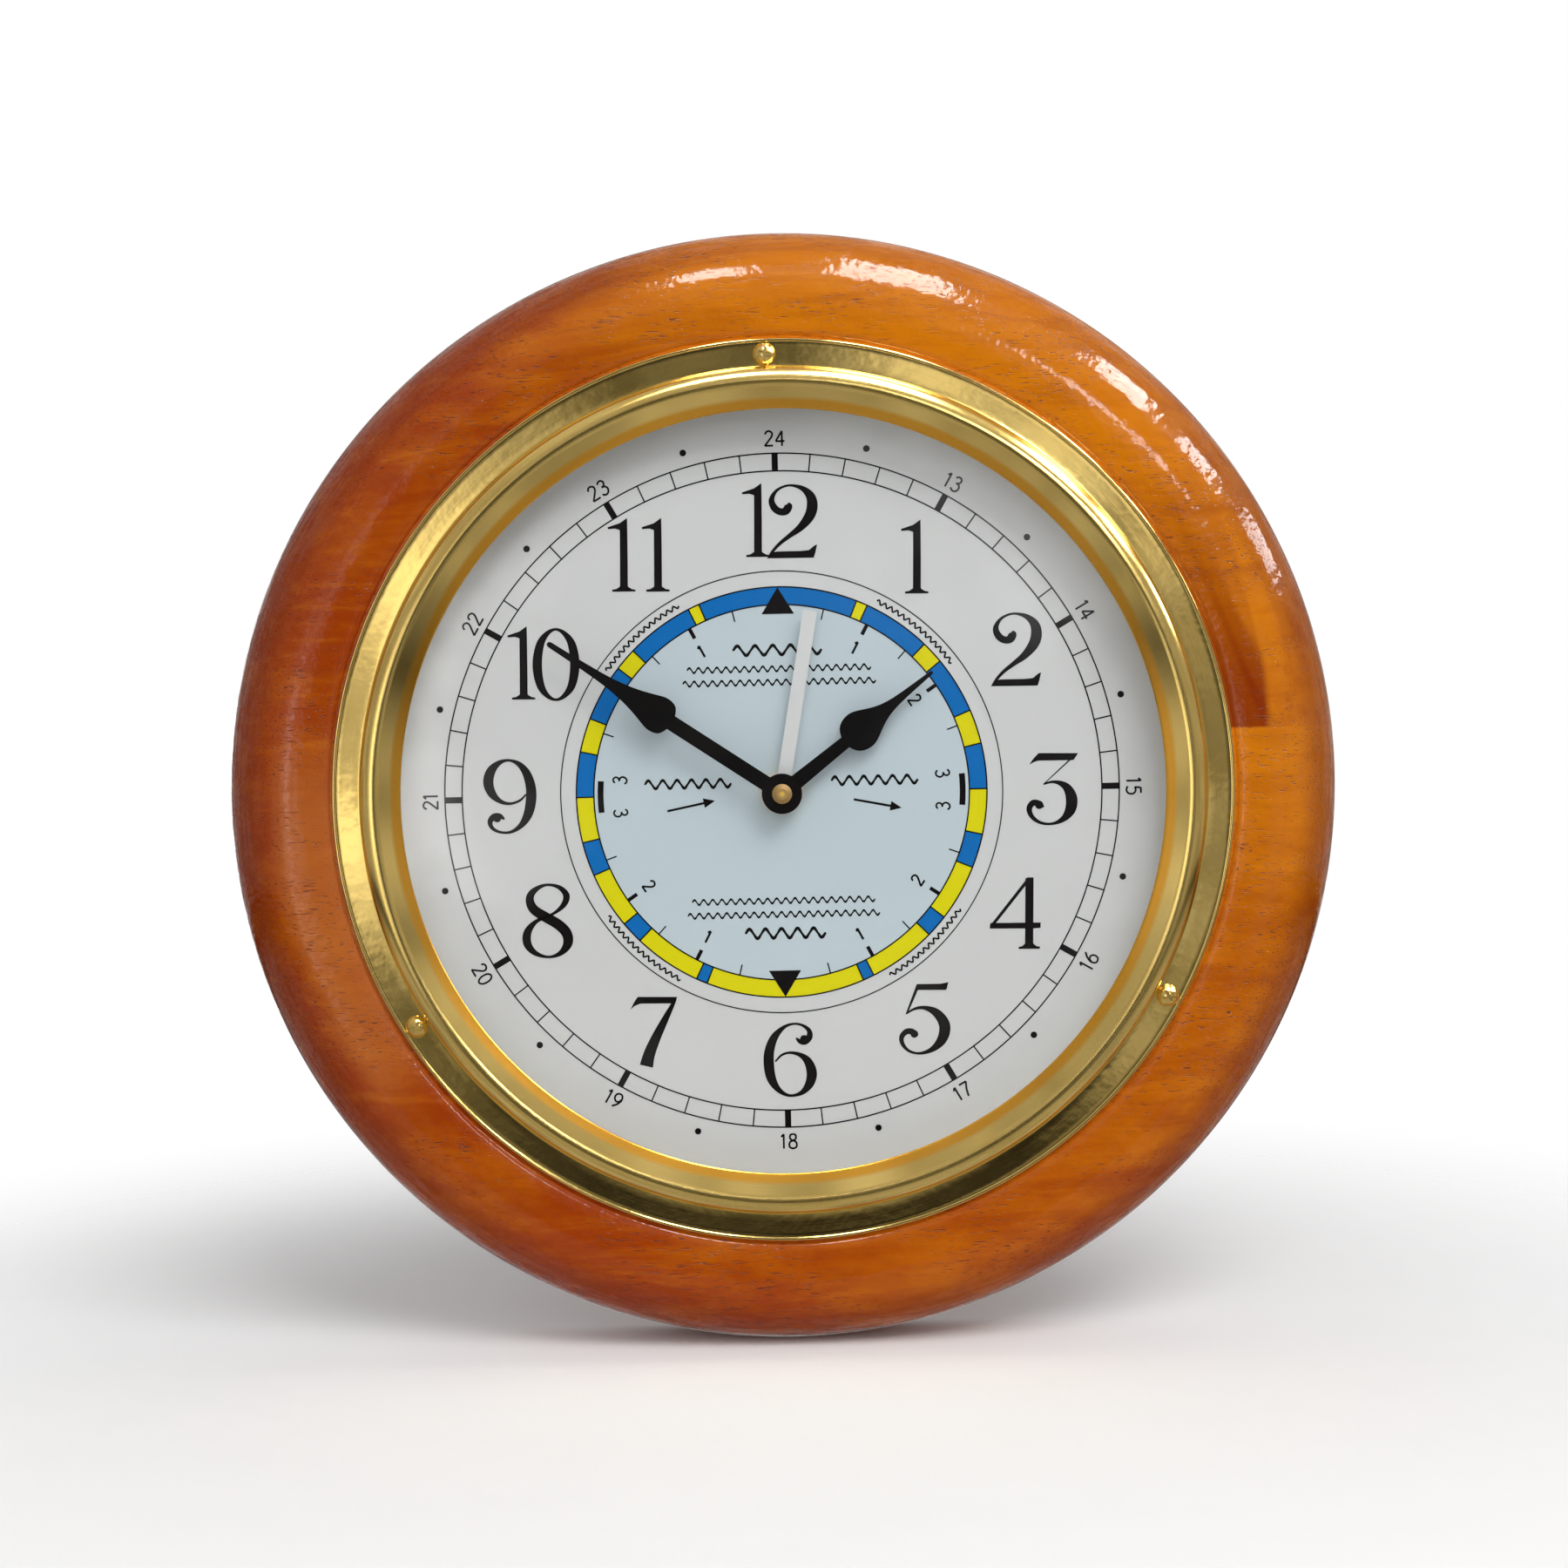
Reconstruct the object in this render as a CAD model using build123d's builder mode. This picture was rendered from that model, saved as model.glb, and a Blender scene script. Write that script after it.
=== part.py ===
from build123d import *
from math import acos, asin, cos, degrees, hypot, pi, radians, sin, sqrt, tan
import os

# Tide and time wall clock: a turned hardwood ring, a brass porthole bezel, and a
# quartz movement that drives an hour hand, a minute hand and a tide hand.
# Heights are measured from the wall towards the viewer, in millimetres.
# +X is right and +Z is up on the dial, and the dial faces -Y.

os.makedirs("parts", exist_ok=True)

# General
overrun = 1.0  # how far a cut runs past its face
running_gap = 0.06  # shaft in its bearing
hand_fit = 0.02  # hand on its tube
seat_gap = 0.3  # loose neighbours

# Turned wooden ring
case_radius = 170.0
crown_rise = 2.2  # crown over the seat of the bezel
shoulder_radius = 22.0  # quarter round of the outer shoulder
crown_fall = 1.3  # how far the crown falls towards the bezel
quirk_width = 1.6  # narrow groove between bezel and crown
back_round = 4.0
ledge_width = 17.0
wall_gap = 2.45  # room between the wall and the setting knobs

# Brass bezel
rim_width = 34.2  # wood that shows outside the brass
bezel_seat_width = 10.8  # brass that lies on the wood
flange_thickness = 1.1
lip_width = 0.7
lip_height = 0.3
flange_width = 8.2  # from the edge to the foot of the roll
roll_rise = 4.4
roll_width = 8.3  # from the crest in to the opening
opening_edge = 0.5  # thickness of the lip over the glass
glass_rise = 1.6  # how far the glass stands into the bezel

# Round head screws of the bezel
bezel_screw_count = 3
bezel_screw_angle = 1.2  # degrees anticlockwise from the top
screw_head_gap = 0.175  # bare flange beside a head
screw_head_height = 2.3
screw_slot_width = 0.9
screw_slot_depth = 1.0
screw_shank_radius = 1.7
screw_tip_length = 3.0
screw_length = 18.0
screw_hole_gap = 0.2
pilot_gap = 0.05

# Glass, spacer and dial
glass_thickness = 2.0
glass_gap = 0.5
glass_clearance = 1.0  # from the tip of the hand nut
spacer_wall = 5.6
dial_thickness = 1.0
dial_gap = 0.4

# Movement housing
contact_room = 3.1  # length of the bay that the two contacts take
movement_corner = 3.0
shell_wall = 1.2
rubber_thickness = 0.8
rubber_radius = 9.0
bush_radius = 3.9
bush_length = 4.8
bush_gap = 0.15
hub_nut_width = 10.5  # across the flats
hub_nut_height = 2.0
washer_thickness = 0.3
washer_radius = 6.0
post_radius = 1.3
post_pin_radius = 0.8
post_inset = 3.4
plate_thickness = 1.0
plate_gap = 0.3
boss_radius = 2.2
boss_height = 0.7

# Battery and its bay
battery_radius = 7.1
battery_length = 50.5
battery_nub_radius = 2.6
battery_nub_length = 1.3
battery_edge = 0.8
battery_drop = 20.4  # from the dial centre down to the cell
bay_gap = 0.4
bay_wall = 1.0
window_gap = 0.25
contact_thickness = 0.3
contact_width = 9.0
contact_rise = 0.5  # outward bow of the negative contact
strap_width = 2.0

# Wheels
wheel_thickness = 0.7
pinion_overhang = 0.2  # leaves stand past the wheel they drive, each side
layer_step = 1.5
web_radius_share = 0.72
pressure_angle = 25.0
addendum_share = 0.8
dedendum_share = 1.15
flank_play = 0.035
leaf_shift_share = 0.45  # profile shift of the six-leaf pinions

# Going train, six-leaf pinions
rotor_leaves = 6
intermediate_teeth = 36
intermediate_leaves = 6
second_teeth = 30
second_leaves = 6
third_teeth = 45
third_leaves = 6
centre_teeth = 48
centre_module = 0.40
second_module = 0.48
rotor_module = 0.36
third_angle = 45.0
intermediate_angle = 135.0
rotor_angle = 80.0

# Motion work: one eight-leaf pinion turns the hour wheel and the tide wheel,
# 57 and 59 teeth at the same distance, so that the tide hand takes 12 h 25 min.
cannon_leaves = 19
minute_teeth = 32
minute_leaves = 8
hour_teeth = 57
tide_teeth = 59
motion_module = 0.36
minute_leaf_shift_share = 0.4
motion_angle = 135.0
time_set_leaves = 10
time_set_angle = 195.0
tide_set_leaves = 12
tide_set_angle = -20.0
set_shift_share = 0.3

# Arbors and tubes
arbor_radius = 0.5
pivot_radius = 0.3
pivot_hole_gap = 0.05
centre_arbor_radius = 1.25
hour_tube_wall = 0.7
tide_tube_wall = 0.8
set_stem_radius = 0.9
set_knob_radius = 5.0
set_knob_height = 2.8
set_knob_gap = 0.3
set_knob_sides = 16
set_knob_chamfer = 0.5
set_slot_width = 1.0
set_slot_depth = 0.8

# Motor
magnet_radius = 3.0
magnet_height = 1.4
magnet_gap = 0.35
stator_thickness = 0.6
stator_arm_width = 3.2
stator_bar_height = 5.9
stator_arm_length = 8.35  # from the rotor's axis to the coil's
coil_radius = 3.0
coil_length = 18.0
coil_shift = 3.0  # coil centre, left of the rotor
coil_flange = 0.8
core_width = 2.4
core_thickness = 0.8
board_thickness = 0.8
board_rise = 0.5
board_margin = 2.8
chip_width = 5.0
chip_height = 0.9
crystal_radius = 1.0
crystal_length = 6.0

# Hands, with their rest angles clockwise from twelve
hand_thickness = 0.6
hub_radius = 6.1
tide_hand_rise = 0.3  # clearance in front of the bush
hand_step = 1.9  # from one hand to the next
minute_hand_angle = 304.4
minute_hand_length = 83.5
minute_stem_root = 4.4
minute_stem_end = 3.6
minute_bulb_radius = 5.5
minute_bulb_centre = 45.6
minute_tip_width = 0.8
hour_hand_angle = 52.9
hour_hand_length = 58.5
hour_stem_root = 3.6
hour_stem_end = 2.8
hour_bulb_radius = 6.0
hour_bulb_centre = 30.9
hour_tip_width = 1.1
tide_hand_angle = 10.0
tide_hand_length = 56.0
tide_hand_width = 4.3
hand_waist_share = 0.42  # place of the waist between bulb and tip
hand_waist_width_share = 0.34  # half width there, of the bulb's radius
hand_nut_radius = 3.0
hand_nut_height = 1.9

# Keyhole hanger
hanger_width = 20.0
hanger_height = 44.0
hanger_thickness = 1.5
hanger_corner = 3.0
hanger_inset = 31.0  # from the top of the ring to the plate's middle
keyhole_radius = 4.5
keyhole_slot_width = 4.5
keyhole_slot_length = 9.0
keyhole_drop = 5.0  # round hole, below the plate's middle
pocket_width = 12.0
pocket_depth = 7.5
hanger_screw_inset = 4.5
hanger_screw_radius = 1.2
hanger_screw_length = 12.0
hanger_head_radius = 2.6

# Radii, from the outside in
bezel_radius = case_radius - rim_width
rebate_radius = bezel_radius - bezel_seat_width
recess_radius = rebate_radius - ledge_width
lip_foot_radius = bezel_radius - lip_width - lip_width / 2
roll_radius = bezel_radius - flange_width
crest_radius = roll_radius - roll_rise
opening_radius = crest_radius - roll_width
screw_circle_radius = (lip_foot_radius + roll_radius) / 2
screw_head_radius = (lip_foot_radius - roll_radius) / 2 - screw_head_gap
spacer_radius = rebate_radius - dial_gap - spacer_wall
hanger_centre = case_radius - hanger_inset

# Heights of the stack, from the wall up through the movement to the dial
knob_bottom = wall_gap
knob_top = knob_bottom + set_knob_height
rear_face = knob_top + set_knob_gap
rear_inner = rear_face + shell_wall
battery_height = rear_inner + window_gap * 3 + battery_radius
front_inner = battery_height + battery_radius + seat_gap
movement_front = front_inner + shell_wall
dial_back = movement_front + rubber_thickness
ledge_height = dial_back  # the dial lies on the ledge
dial_front = dial_back + dial_thickness
bush_top = movement_front + bush_length

# Heights of the hands, and on to the glass and the bezel
tide_hand_height = bush_top + tide_hand_rise
hour_hand_height = tide_hand_height + hand_step
minute_hand_height = hour_hand_height + hand_step
hand_nut_base = minute_hand_height + hand_thickness
arbor_tip = hand_nut_base + hand_nut_height / 2
glass_bottom = hand_nut_base + hand_nut_height + glass_clearance
glass_top = glass_bottom + glass_thickness
land_height = glass_top - glass_rise  # seat of the bezel
crown_height = land_height + crown_rise
flange_top = land_height + flange_thickness
crest_height = flange_top + roll_rise
total_depth = crest_height

# Heights of the wheel layers, from the dial backwards
tide_level = front_inner - plate_gap * 2 - wheel_thickness
hour_level = tide_level - layer_step
minute_level = hour_level - layer_step
centre_level = minute_level - layer_step - pinion_overhang
plate_front = centre_level - pinion_overhang * 2 - boss_height
plate_back = plate_front - plate_thickness
third_level = plate_back - layer_step - plate_gap
second_level = third_level - layer_step
intermediate_level = second_level - layer_step

# Width and lower edge of the movement, round the battery bay
movement_width = battery_length + shell_wall * 2 + contact_room
half_width = movement_width / 2
inner_half_width = half_width - shell_wall
movement_bottom = -(battery_drop + battery_radius + bay_gap + shell_wall)
bay_top = -battery_drop + battery_radius + bay_gap

# Places of the arbors on the dial plane
def polar(distance, angle, start=(0, 0)):
    """The point at a distance and an angle, anticlockwise from +X."""
    turn = radians(angle)
    return (start[0] + distance * cos(turn), start[1] + distance * sin(turn))


def pair_distance(module, first, second, shifts=0):
    """Centre distance of two toothed parts with a sum of profile shifts."""
    return module * ((first + second) / 2 + shifts)


motion_distance = pair_distance(motion_module, minute_leaves, (hour_teeth + tide_teeth) / 2)
cannon_module = 2 * motion_distance / (cannon_leaves + minute_teeth)
hour_shift = motion_distance / motion_module - (minute_leaves + hour_teeth) / 2 - minute_leaf_shift_share
tide_shift = motion_distance / motion_module - (minute_leaves + tide_teeth) / 2 - minute_leaf_shift_share
time_set_distance = pair_distance(cannon_module, minute_teeth, time_set_leaves, set_shift_share)
tide_set_distance = pair_distance(motion_module, tide_teeth, tide_set_leaves, tide_shift + set_shift_share)
third_distance = pair_distance(centre_module, third_leaves, centre_teeth)
third_module = 2 * third_distance / (second_leaves + third_teeth)
intermediate_distance = pair_distance(second_module, intermediate_leaves, second_teeth)
rotor_distance = pair_distance(rotor_module, rotor_leaves, intermediate_teeth)

centre_place = (0, 0)
minute_place = polar(motion_distance, motion_angle)
time_set_place = polar(time_set_distance, time_set_angle, minute_place)
tide_set_place = polar(tide_set_distance, tide_set_angle)
third_place = polar(third_distance, third_angle)
intermediate_place = polar(intermediate_distance, intermediate_angle)
rotor_place = polar(rotor_distance, rotor_angle, intermediate_place)

# Upper edge of the movement, over the motor's coil
coil_line = rotor_place[1] + stator_arm_length
movement_top = coil_line + coil_radius + core_thickness + shell_wall
movement_height = movement_top - movement_bottom
movement_middle = (movement_bottom + movement_top) / 2

# Radii of the nested tubes
hour_bore = centre_arbor_radius + running_gap
hour_tube_radius = hour_bore + hour_tube_wall
tide_bore = hour_tube_radius + running_gap
tide_tube_radius = tide_bore + tide_tube_wall
bush_bore = tide_tube_radius + running_gap


# Planes and plain shapes
def level(height):
    """The plane at a height from the wall, facing the viewer."""
    return Plane.XZ.offset(height - total_depth / 2)


def turned_level(height, turn):
    """The same plane, turned clockwise about the dial's centre."""
    return Plane(level(height).location * Location((0, 0, 0), (0, 0, -turn)))


def turning_plane():
    """Half section of a turned piece: radius across, height up."""
    return Plane(origin=(0, total_depth / 2, 0), x_dir=(1, 0, 0), z_dir=(0, 0, -1))


def round_bar(place, radius, bottom, top, mode=Mode.ADD):
    """A round bar between two heights."""
    with Locations(level(bottom).location * Location((place[0], place[1], 0))):
        Cylinder(radius, top - bottom, align=(Align.CENTER, Align.CENTER, Align.MIN), mode=mode)


def block(left, right, low, high, bottom, top, mode=Mode.ADD):
    """A block between two sides, a lower and an upper edge, and two heights."""
    place = Location(((left + right) / 2, (low + high) / 2, 0))
    with Locations(level(bottom).location * place):
        Box(right - left, high - low, top - bottom, align=(Align.CENTER, Align.CENTER, Align.MIN), mode=mode)


def keep(piece, node):
    """Name a finished piece and write its file."""
    piece.part.label = node
    export_step(piece.part, f"parts/{node}.step")


# Teeth
def involute(angle):
    """The involute function of an angle in radians."""
    return tan(angle) - angle


def tooth_half_angle(radius, teeth, module, shift):
    """Half the angle that a tooth spans at a radius."""
    pressure = radians(pressure_angle)
    base_radius = module * teeth / 2 * cos(pressure)
    at_radius = acos(min(1, base_radius / radius))
    at_pitch = (pi / 2 + 2 * shift * tan(pressure)) / teeth
    return at_pitch + involute(pressure) - involute(at_radius) - flank_play / radius


def tip_radius(teeth, module, shift=0):
    """Outer radius of a toothed part."""
    return module * (teeth / 2 + addendum_share + shift)


def tooth_points(place, teeth, module, shift, phase, curved):
    """Corner points of a toothed outline whose first tooth points at phase degrees."""
    tip = tip_radius(teeth, module, shift)
    root = module * (teeth / 2 - dedendum_share + shift)
    pitch_radius = module * teeth / 2
    flank = [root, pitch_radius, tip] if curved else [root, tip]
    rising = [(radius, -tooth_half_angle(radius, teeth, module, shift)) for radius in flank]
    falling = [(radius, -half) for radius, half in reversed(rising)]
    points = []
    for tooth in range(teeth):
        centre_line = radians(phase) + 2 * pi * tooth / teeth
        for radius, half in rising + falling:
            points.append(polar(radius, degrees(centre_line + half), place))
    return points


def toothed_disc(place, teeth, module, shift, phase, bottom, top, curved=False):
    """A wheel or pinion body between two heights."""
    with BuildSketch(level(bottom)) as outline:
        with BuildLine():
            Polyline(*tooth_points(place, teeth, module, shift, phase, curved), close=True)
        make_face()
    extrude(to_extrude=outline.sketch, amount=top - bottom)


def wheel(place, teeth, module, shift, phase, bottom, hub_radius_here, spokes=0):
    """A wheel, with round lightening holes where it is large enough."""
    top = bottom + wheel_thickness
    toothed_disc(place, teeth, module, shift, phase, bottom, top)
    root = module * (teeth / 2 - dedendum_share + shift)
    hole_circle = (hub_radius_here + root) / 2
    hole_radius = (root - hub_radius_here) / 2 * web_radius_share
    for hole in range(spokes):
        spot = polar(hole_circle, phase + 360 * hole / spokes, place)
        round_bar(spot, hole_radius, bottom - overrun, top + overrun, Mode.SUBTRACT)


def leaves(place, count, module, shift, phase, wheel_bottom):
    """A pinion that overlaps the wheel it drives, on both sides."""
    bottom = wheel_bottom - pinion_overhang
    top = wheel_bottom + wheel_thickness + pinion_overhang
    toothed_disc(place, count, module, shift, phase, bottom, top, curved=True)


def meshed_phase(teeth, followed_teeth, followed_phase, direction):
    """Phase of a toothed part whose gap meets the followed part's tooth."""
    pitch = 360 / teeth
    followed_pitch = 360 / followed_teeth
    offset_share = (direction - followed_phase) / followed_pitch
    return direction + 180 - pitch * (0.5 - offset_share)


def arbor(place, bottom, top, rear_pivot, front_pivot):
    """A plain arbor whose thin pivots reach into their bearings."""
    round_bar(place, arbor_radius, bottom, top)
    round_bar(place, pivot_radius, rear_pivot, bottom)
    round_bar(place, pivot_radius, top, front_pivot)


minute_phase = meshed_phase(minute_teeth, cannon_leaves, 0, motion_angle)
minute_leaf_phase = minute_phase
hour_phase = meshed_phase(hour_teeth, minute_leaves, minute_leaf_phase, motion_angle + 180)
tide_phase = meshed_phase(tide_teeth, minute_leaves, minute_leaf_phase, motion_angle + 180)
time_set_phase = meshed_phase(time_set_leaves, minute_teeth, minute_phase, time_set_angle)
tide_set_phase = meshed_phase(tide_set_leaves, tide_teeth, tide_phase, tide_set_angle)
intermediate_phase = meshed_phase(intermediate_teeth, rotor_leaves, 0, rotor_angle + 180)
second_phase = meshed_phase(second_teeth, intermediate_leaves, 0, intermediate_angle + 180)
third_phase = meshed_phase(third_teeth, second_leaves, 0, third_angle)
centre_phase = meshed_phase(centre_teeth, third_leaves, 0, third_angle + 180)

# Wooden ring: a turned section, a ledge and a rebate for the dial stack, pilot
# holes for the bezel's screws, and the let-in seat of the hanger plate.
shoulder_start = case_radius - shoulder_radius
shoulder_foot = crown_height - shoulder_radius
land_edge = bezel_radius + quirk_width / 2
crown_edge = bezel_radius + quirk_width
hanger_low = hanger_centre - hanger_height / 2
hanger_high = hanger_centre + hanger_height / 2
keyhole_centre = hanger_centre - keyhole_drop
slot_end = keyhole_centre + keyhole_slot_length
pocket_low = keyhole_centre - pocket_width / 2
pocket_high = slot_end + pocket_width / 2
hanger_screw_places = [
    (0, hanger_low + hanger_screw_inset),
    (0, hanger_high - hanger_screw_inset),
]
screw_tip = land_height + flange_thickness - screw_length

with BuildPart() as wood_case:
    with BuildSketch(turning_plane()):
        with BuildLine():
            crown = TangentArc(
                (shoulder_start, crown_height),
                (crown_edge, crown_height - crown_fall),
                tangent=(-1, 0),
            )
            Polyline(
                crown @ 1,
                (land_edge, land_height),
                (rebate_radius, land_height),
                (rebate_radius, ledge_height),
                (recess_radius, ledge_height),
                (recess_radius, 0),
                (case_radius - back_round, 0),
            )
            RadiusArc((case_radius - back_round, 0), (case_radius, back_round), -back_round)
            Line((case_radius, back_round), (case_radius, shoulder_foot))
            RadiusArc((case_radius, shoulder_foot), (shoulder_start, crown_height), -shoulder_radius)
        make_face()
    revolve(axis=Axis.Y)
    with Locations(level(land_height).location):
        with PolarLocations(screw_circle_radius, bezel_screw_count, start_angle=90 + bezel_screw_angle):
            Cylinder(
                screw_shank_radius + pilot_gap,
                land_height - screw_tip + pilot_gap,
                align=(Align.CENTER, Align.CENTER, Align.MAX),
                mode=Mode.SUBTRACT,
            )
    with BuildSketch(level(0)):
        with Locations((0, hanger_centre)):
            RectangleRounded(hanger_width + pilot_gap * 2, hanger_height + pilot_gap * 2, hanger_corner)
    extrude(amount=hanger_thickness, mode=Mode.SUBTRACT)
    with BuildSketch(level(hanger_thickness)):
        with Locations((0, (pocket_low + pocket_high) / 2)):
            SlotOverall(pocket_high - pocket_low, pocket_width, rotation=90)
    extrude(amount=pocket_depth, mode=Mode.SUBTRACT)
    for spot in hanger_screw_places:
        round_bar(spot, hanger_screw_radius + pilot_gap, 0, hanger_screw_length, Mode.SUBTRACT)
keep(wood_case, "wood_case")

# Brass bezel: flat flange with a small lip, a quarter round up to the crest, and
# a long roll down to the edge that holds the glass.
with BuildPart() as brass_bezel:
    with BuildSketch(turning_plane()):
        with BuildLine():
            Polyline(
                (opening_radius, glass_top + opening_edge),
                (opening_radius, glass_top),
                (rebate_radius, glass_top),
                (rebate_radius, land_height),
                (bezel_radius, land_height),
                (bezel_radius, flange_top),
                (bezel_radius - lip_width / 2, flange_top + lip_height),
                (bezel_radius - lip_width, flange_top + lip_height),
                (lip_foot_radius, flange_top),
                (roll_radius, flange_top),
            )
            RadiusArc((roll_radius, flange_top), (crest_radius, crest_height), -roll_rise)
            TangentArc(
                (crest_radius, crest_height),
                (opening_radius, glass_top + opening_edge),
                tangent=(-1, 0),
            )
        make_face()
    revolve(axis=Axis.Y)
    with Locations(level(flange_top).location):
        with PolarLocations(screw_circle_radius, bezel_screw_count, start_angle=90 + bezel_screw_angle):
            Cylinder(
                screw_shank_radius + screw_hole_gap,
                flange_thickness,
                align=(Align.CENTER, Align.CENTER, Align.MAX),
                mode=Mode.SUBTRACT,
            )
keep(brass_bezel, "brass_bezel")

# One round head screw, turned on its own axis, then set three times.
head_curve_radius = (screw_head_radius**2 + screw_head_height**2) / (2 * screw_head_height)

with BuildPart() as one_screw:
    with BuildSketch(Plane.XZ):
        with BuildLine():
            RadiusArc((0, screw_head_height), (screw_head_radius, 0), head_curve_radius)
            Polyline(
                (screw_head_radius, 0),
                (screw_shank_radius, 0),
                (screw_shank_radius, screw_tip_length - screw_length),
                (0, -screw_length),
                (0, screw_head_height),
            )
        make_face()
    revolve(axis=Axis.Z)
    with Locations((0, 0, screw_head_height)):
        Box(
            screw_head_radius * 2 + overrun,
            screw_slot_width,
            screw_slot_depth * 2,
            mode=Mode.SUBTRACT,
        )

with BuildPart() as bezel_screws:
    with Locations(level(flange_top).location):
        with PolarLocations(screw_circle_radius, bezel_screw_count, start_angle=90 + bezel_screw_angle):
            add(one_screw.part)
keep(bezel_screws, "bezel_screws")

# Glass, spacer ring and dial, stacked in the rebate between ledge and bezel.
dial_radius = rebate_radius - dial_gap

with BuildPart() as glass_lens:
    round_bar(centre_place, rebate_radius - glass_gap, glass_bottom, glass_top)
keep(glass_lens, "glass_lens")

with BuildPart() as spacer_ring:
    round_bar(centre_place, dial_radius, dial_front, glass_bottom)
    round_bar(centre_place, spacer_radius, dial_front - overrun, glass_bottom + overrun, Mode.SUBTRACT)
keep(spacer_ring, "spacer_ring")

with BuildPart() as dial_plate:
    round_bar(centre_place, dial_radius, dial_back, dial_front)
    round_bar(centre_place, bush_radius + bush_gap, dial_back - overrun, dial_front + overrun, Mode.SUBTRACT)
keep(dial_plate, "dial_plate")

# Washers and nut that clamp the movement to the dial.
with BuildPart() as rubber_washer:
    round_bar(centre_place, rubber_radius, movement_front, dial_back)
    round_bar(centre_place, bush_radius + bush_gap, movement_front - overrun, dial_back + overrun, Mode.SUBTRACT)
keep(rubber_washer, "rubber_washer")

with BuildPart() as fixing_washer:
    round_bar(centre_place, washer_radius, dial_front, dial_front + washer_thickness)
    round_bar(centre_place, bush_radius + bush_gap, dial_front - overrun, dial_front + overrun, Mode.SUBTRACT)
keep(fixing_washer, "fixing_washer")

hub_nut_base = dial_front + washer_thickness
with BuildPart() as fixing_nut:
    with BuildSketch(level(hub_nut_base)):
        RegularPolygon(hub_nut_width / 2, 6, major_radius=False)
        Circle(bush_radius + hand_fit, mode=Mode.SUBTRACT)
    extrude(amount=hub_nut_height)
keep(fixing_nut, "fixing_nut")

# Front case: a shell open to the rear, with the bush, the wall of the battery bay
# and four posts that carry the middle plate.
post_places = [
    (side * (half_width - post_inset), edge)
    for side in (-1, 1)
    for edge in (bay_top + bay_wall + post_inset - shell_wall, movement_top - post_inset)
]
wall_end = inner_half_width - shell_wall  # the bay wall leaves room for the contact straps

with BuildPart() as front_case:
    with BuildSketch(level(rear_inner)):
        with Locations((0, movement_middle)):
            RectangleRounded(movement_width, movement_height, movement_corner)
    extrude(amount=movement_front - rear_inner)
    with BuildSketch(level(rear_inner)):
        with Locations((0, movement_middle)):
            RectangleRounded(
                movement_width - shell_wall * 2,
                movement_height - shell_wall * 2,
                movement_corner - shell_wall,
            )
    extrude(amount=front_inner - rear_inner, mode=Mode.SUBTRACT)
    block(-wall_end, wall_end, bay_top, bay_top + bay_wall, rear_inner, front_inner)
    for spot in post_places:
        round_bar(spot, post_radius, plate_front, front_inner)
        round_bar(spot, post_pin_radius, plate_back, plate_front)
    round_bar(centre_place, bush_radius, movement_front, bush_top)
    round_bar(centre_place, bush_bore, front_inner - overrun, bush_top + overrun, Mode.SUBTRACT)
keep(front_case, "front_case")

# Rear cover: battery window, bearing holes and the posts behind the middle plate.
battery_left = -battery_length / 2 + seat_gap
battery_right = battery_left + battery_length

with BuildPart() as rear_cover:
    with BuildSketch(level(rear_face)):
        with Locations((0, movement_middle)):
            RectangleRounded(movement_width, movement_height, movement_corner)
    extrude(amount=shell_wall)
    block(
        battery_left - window_gap,
        battery_right + window_gap,
        -battery_drop - battery_radius - window_gap,
        -battery_drop + battery_radius + window_gap,
        rear_face - overrun,
        rear_inner + overrun,
        Mode.SUBTRACT,
    )
    for spot in post_places:
        round_bar(spot, post_radius, rear_inner, plate_back)
    for spot in (centre_place, third_place, intermediate_place, rotor_place):
        round_bar(spot, pivot_radius + pivot_hole_gap, rear_face - overrun, rear_inner + overrun, Mode.SUBTRACT)
    for spot in (time_set_place, tide_set_place):
        round_bar(spot, set_stem_radius + running_gap, rear_face - overrun, rear_inner + overrun, Mode.SUBTRACT)
keep(rear_cover, "rear_cover")

# Middle plate: front bearings of the rear train, and the stud of the minute wheel.
plate_low = bay_top + bay_wall + plate_gap
plate_high = movement_top - shell_wall - plate_gap

with BuildPart() as middle_plate:
    with BuildSketch(level(plate_back)):
        with Locations((0, (plate_low + plate_high) / 2)):
            RectangleRounded(
                (inner_half_width - plate_gap) * 2,
                plate_high - plate_low,
                movement_corner - shell_wall,
            )
    extrude(amount=plate_thickness)
    round_bar(centre_place, boss_radius, plate_front, plate_front + boss_height)
    round_bar(minute_place, arbor_radius, plate_front, front_inner)
    round_bar(
        centre_place,
        centre_arbor_radius + running_gap,
        plate_front,
        plate_front + boss_height + overrun,
        Mode.SUBTRACT,
    )
    for spot in (centre_place, intermediate_place, rotor_place):
        round_bar(spot, pivot_radius + pivot_hole_gap, plate_back - overrun, plate_front, Mode.SUBTRACT)
    round_bar(
        third_place,
        arbor_radius + pivot_hole_gap,
        plate_back - overrun,
        plate_front + overrun,
        Mode.SUBTRACT,
    )
    for spot in (time_set_place, tide_set_place):
        round_bar(
            spot,
            set_stem_radius + running_gap,
            plate_back - overrun,
            plate_front + overrun,
            Mode.SUBTRACT,
        )
    for spot in post_places:
        round_bar(
            spot,
            post_pin_radius + running_gap,
            plate_back - overrun,
            plate_front + overrun,
            Mode.SUBTRACT,
        )
keep(middle_plate, "middle_plate")

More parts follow.
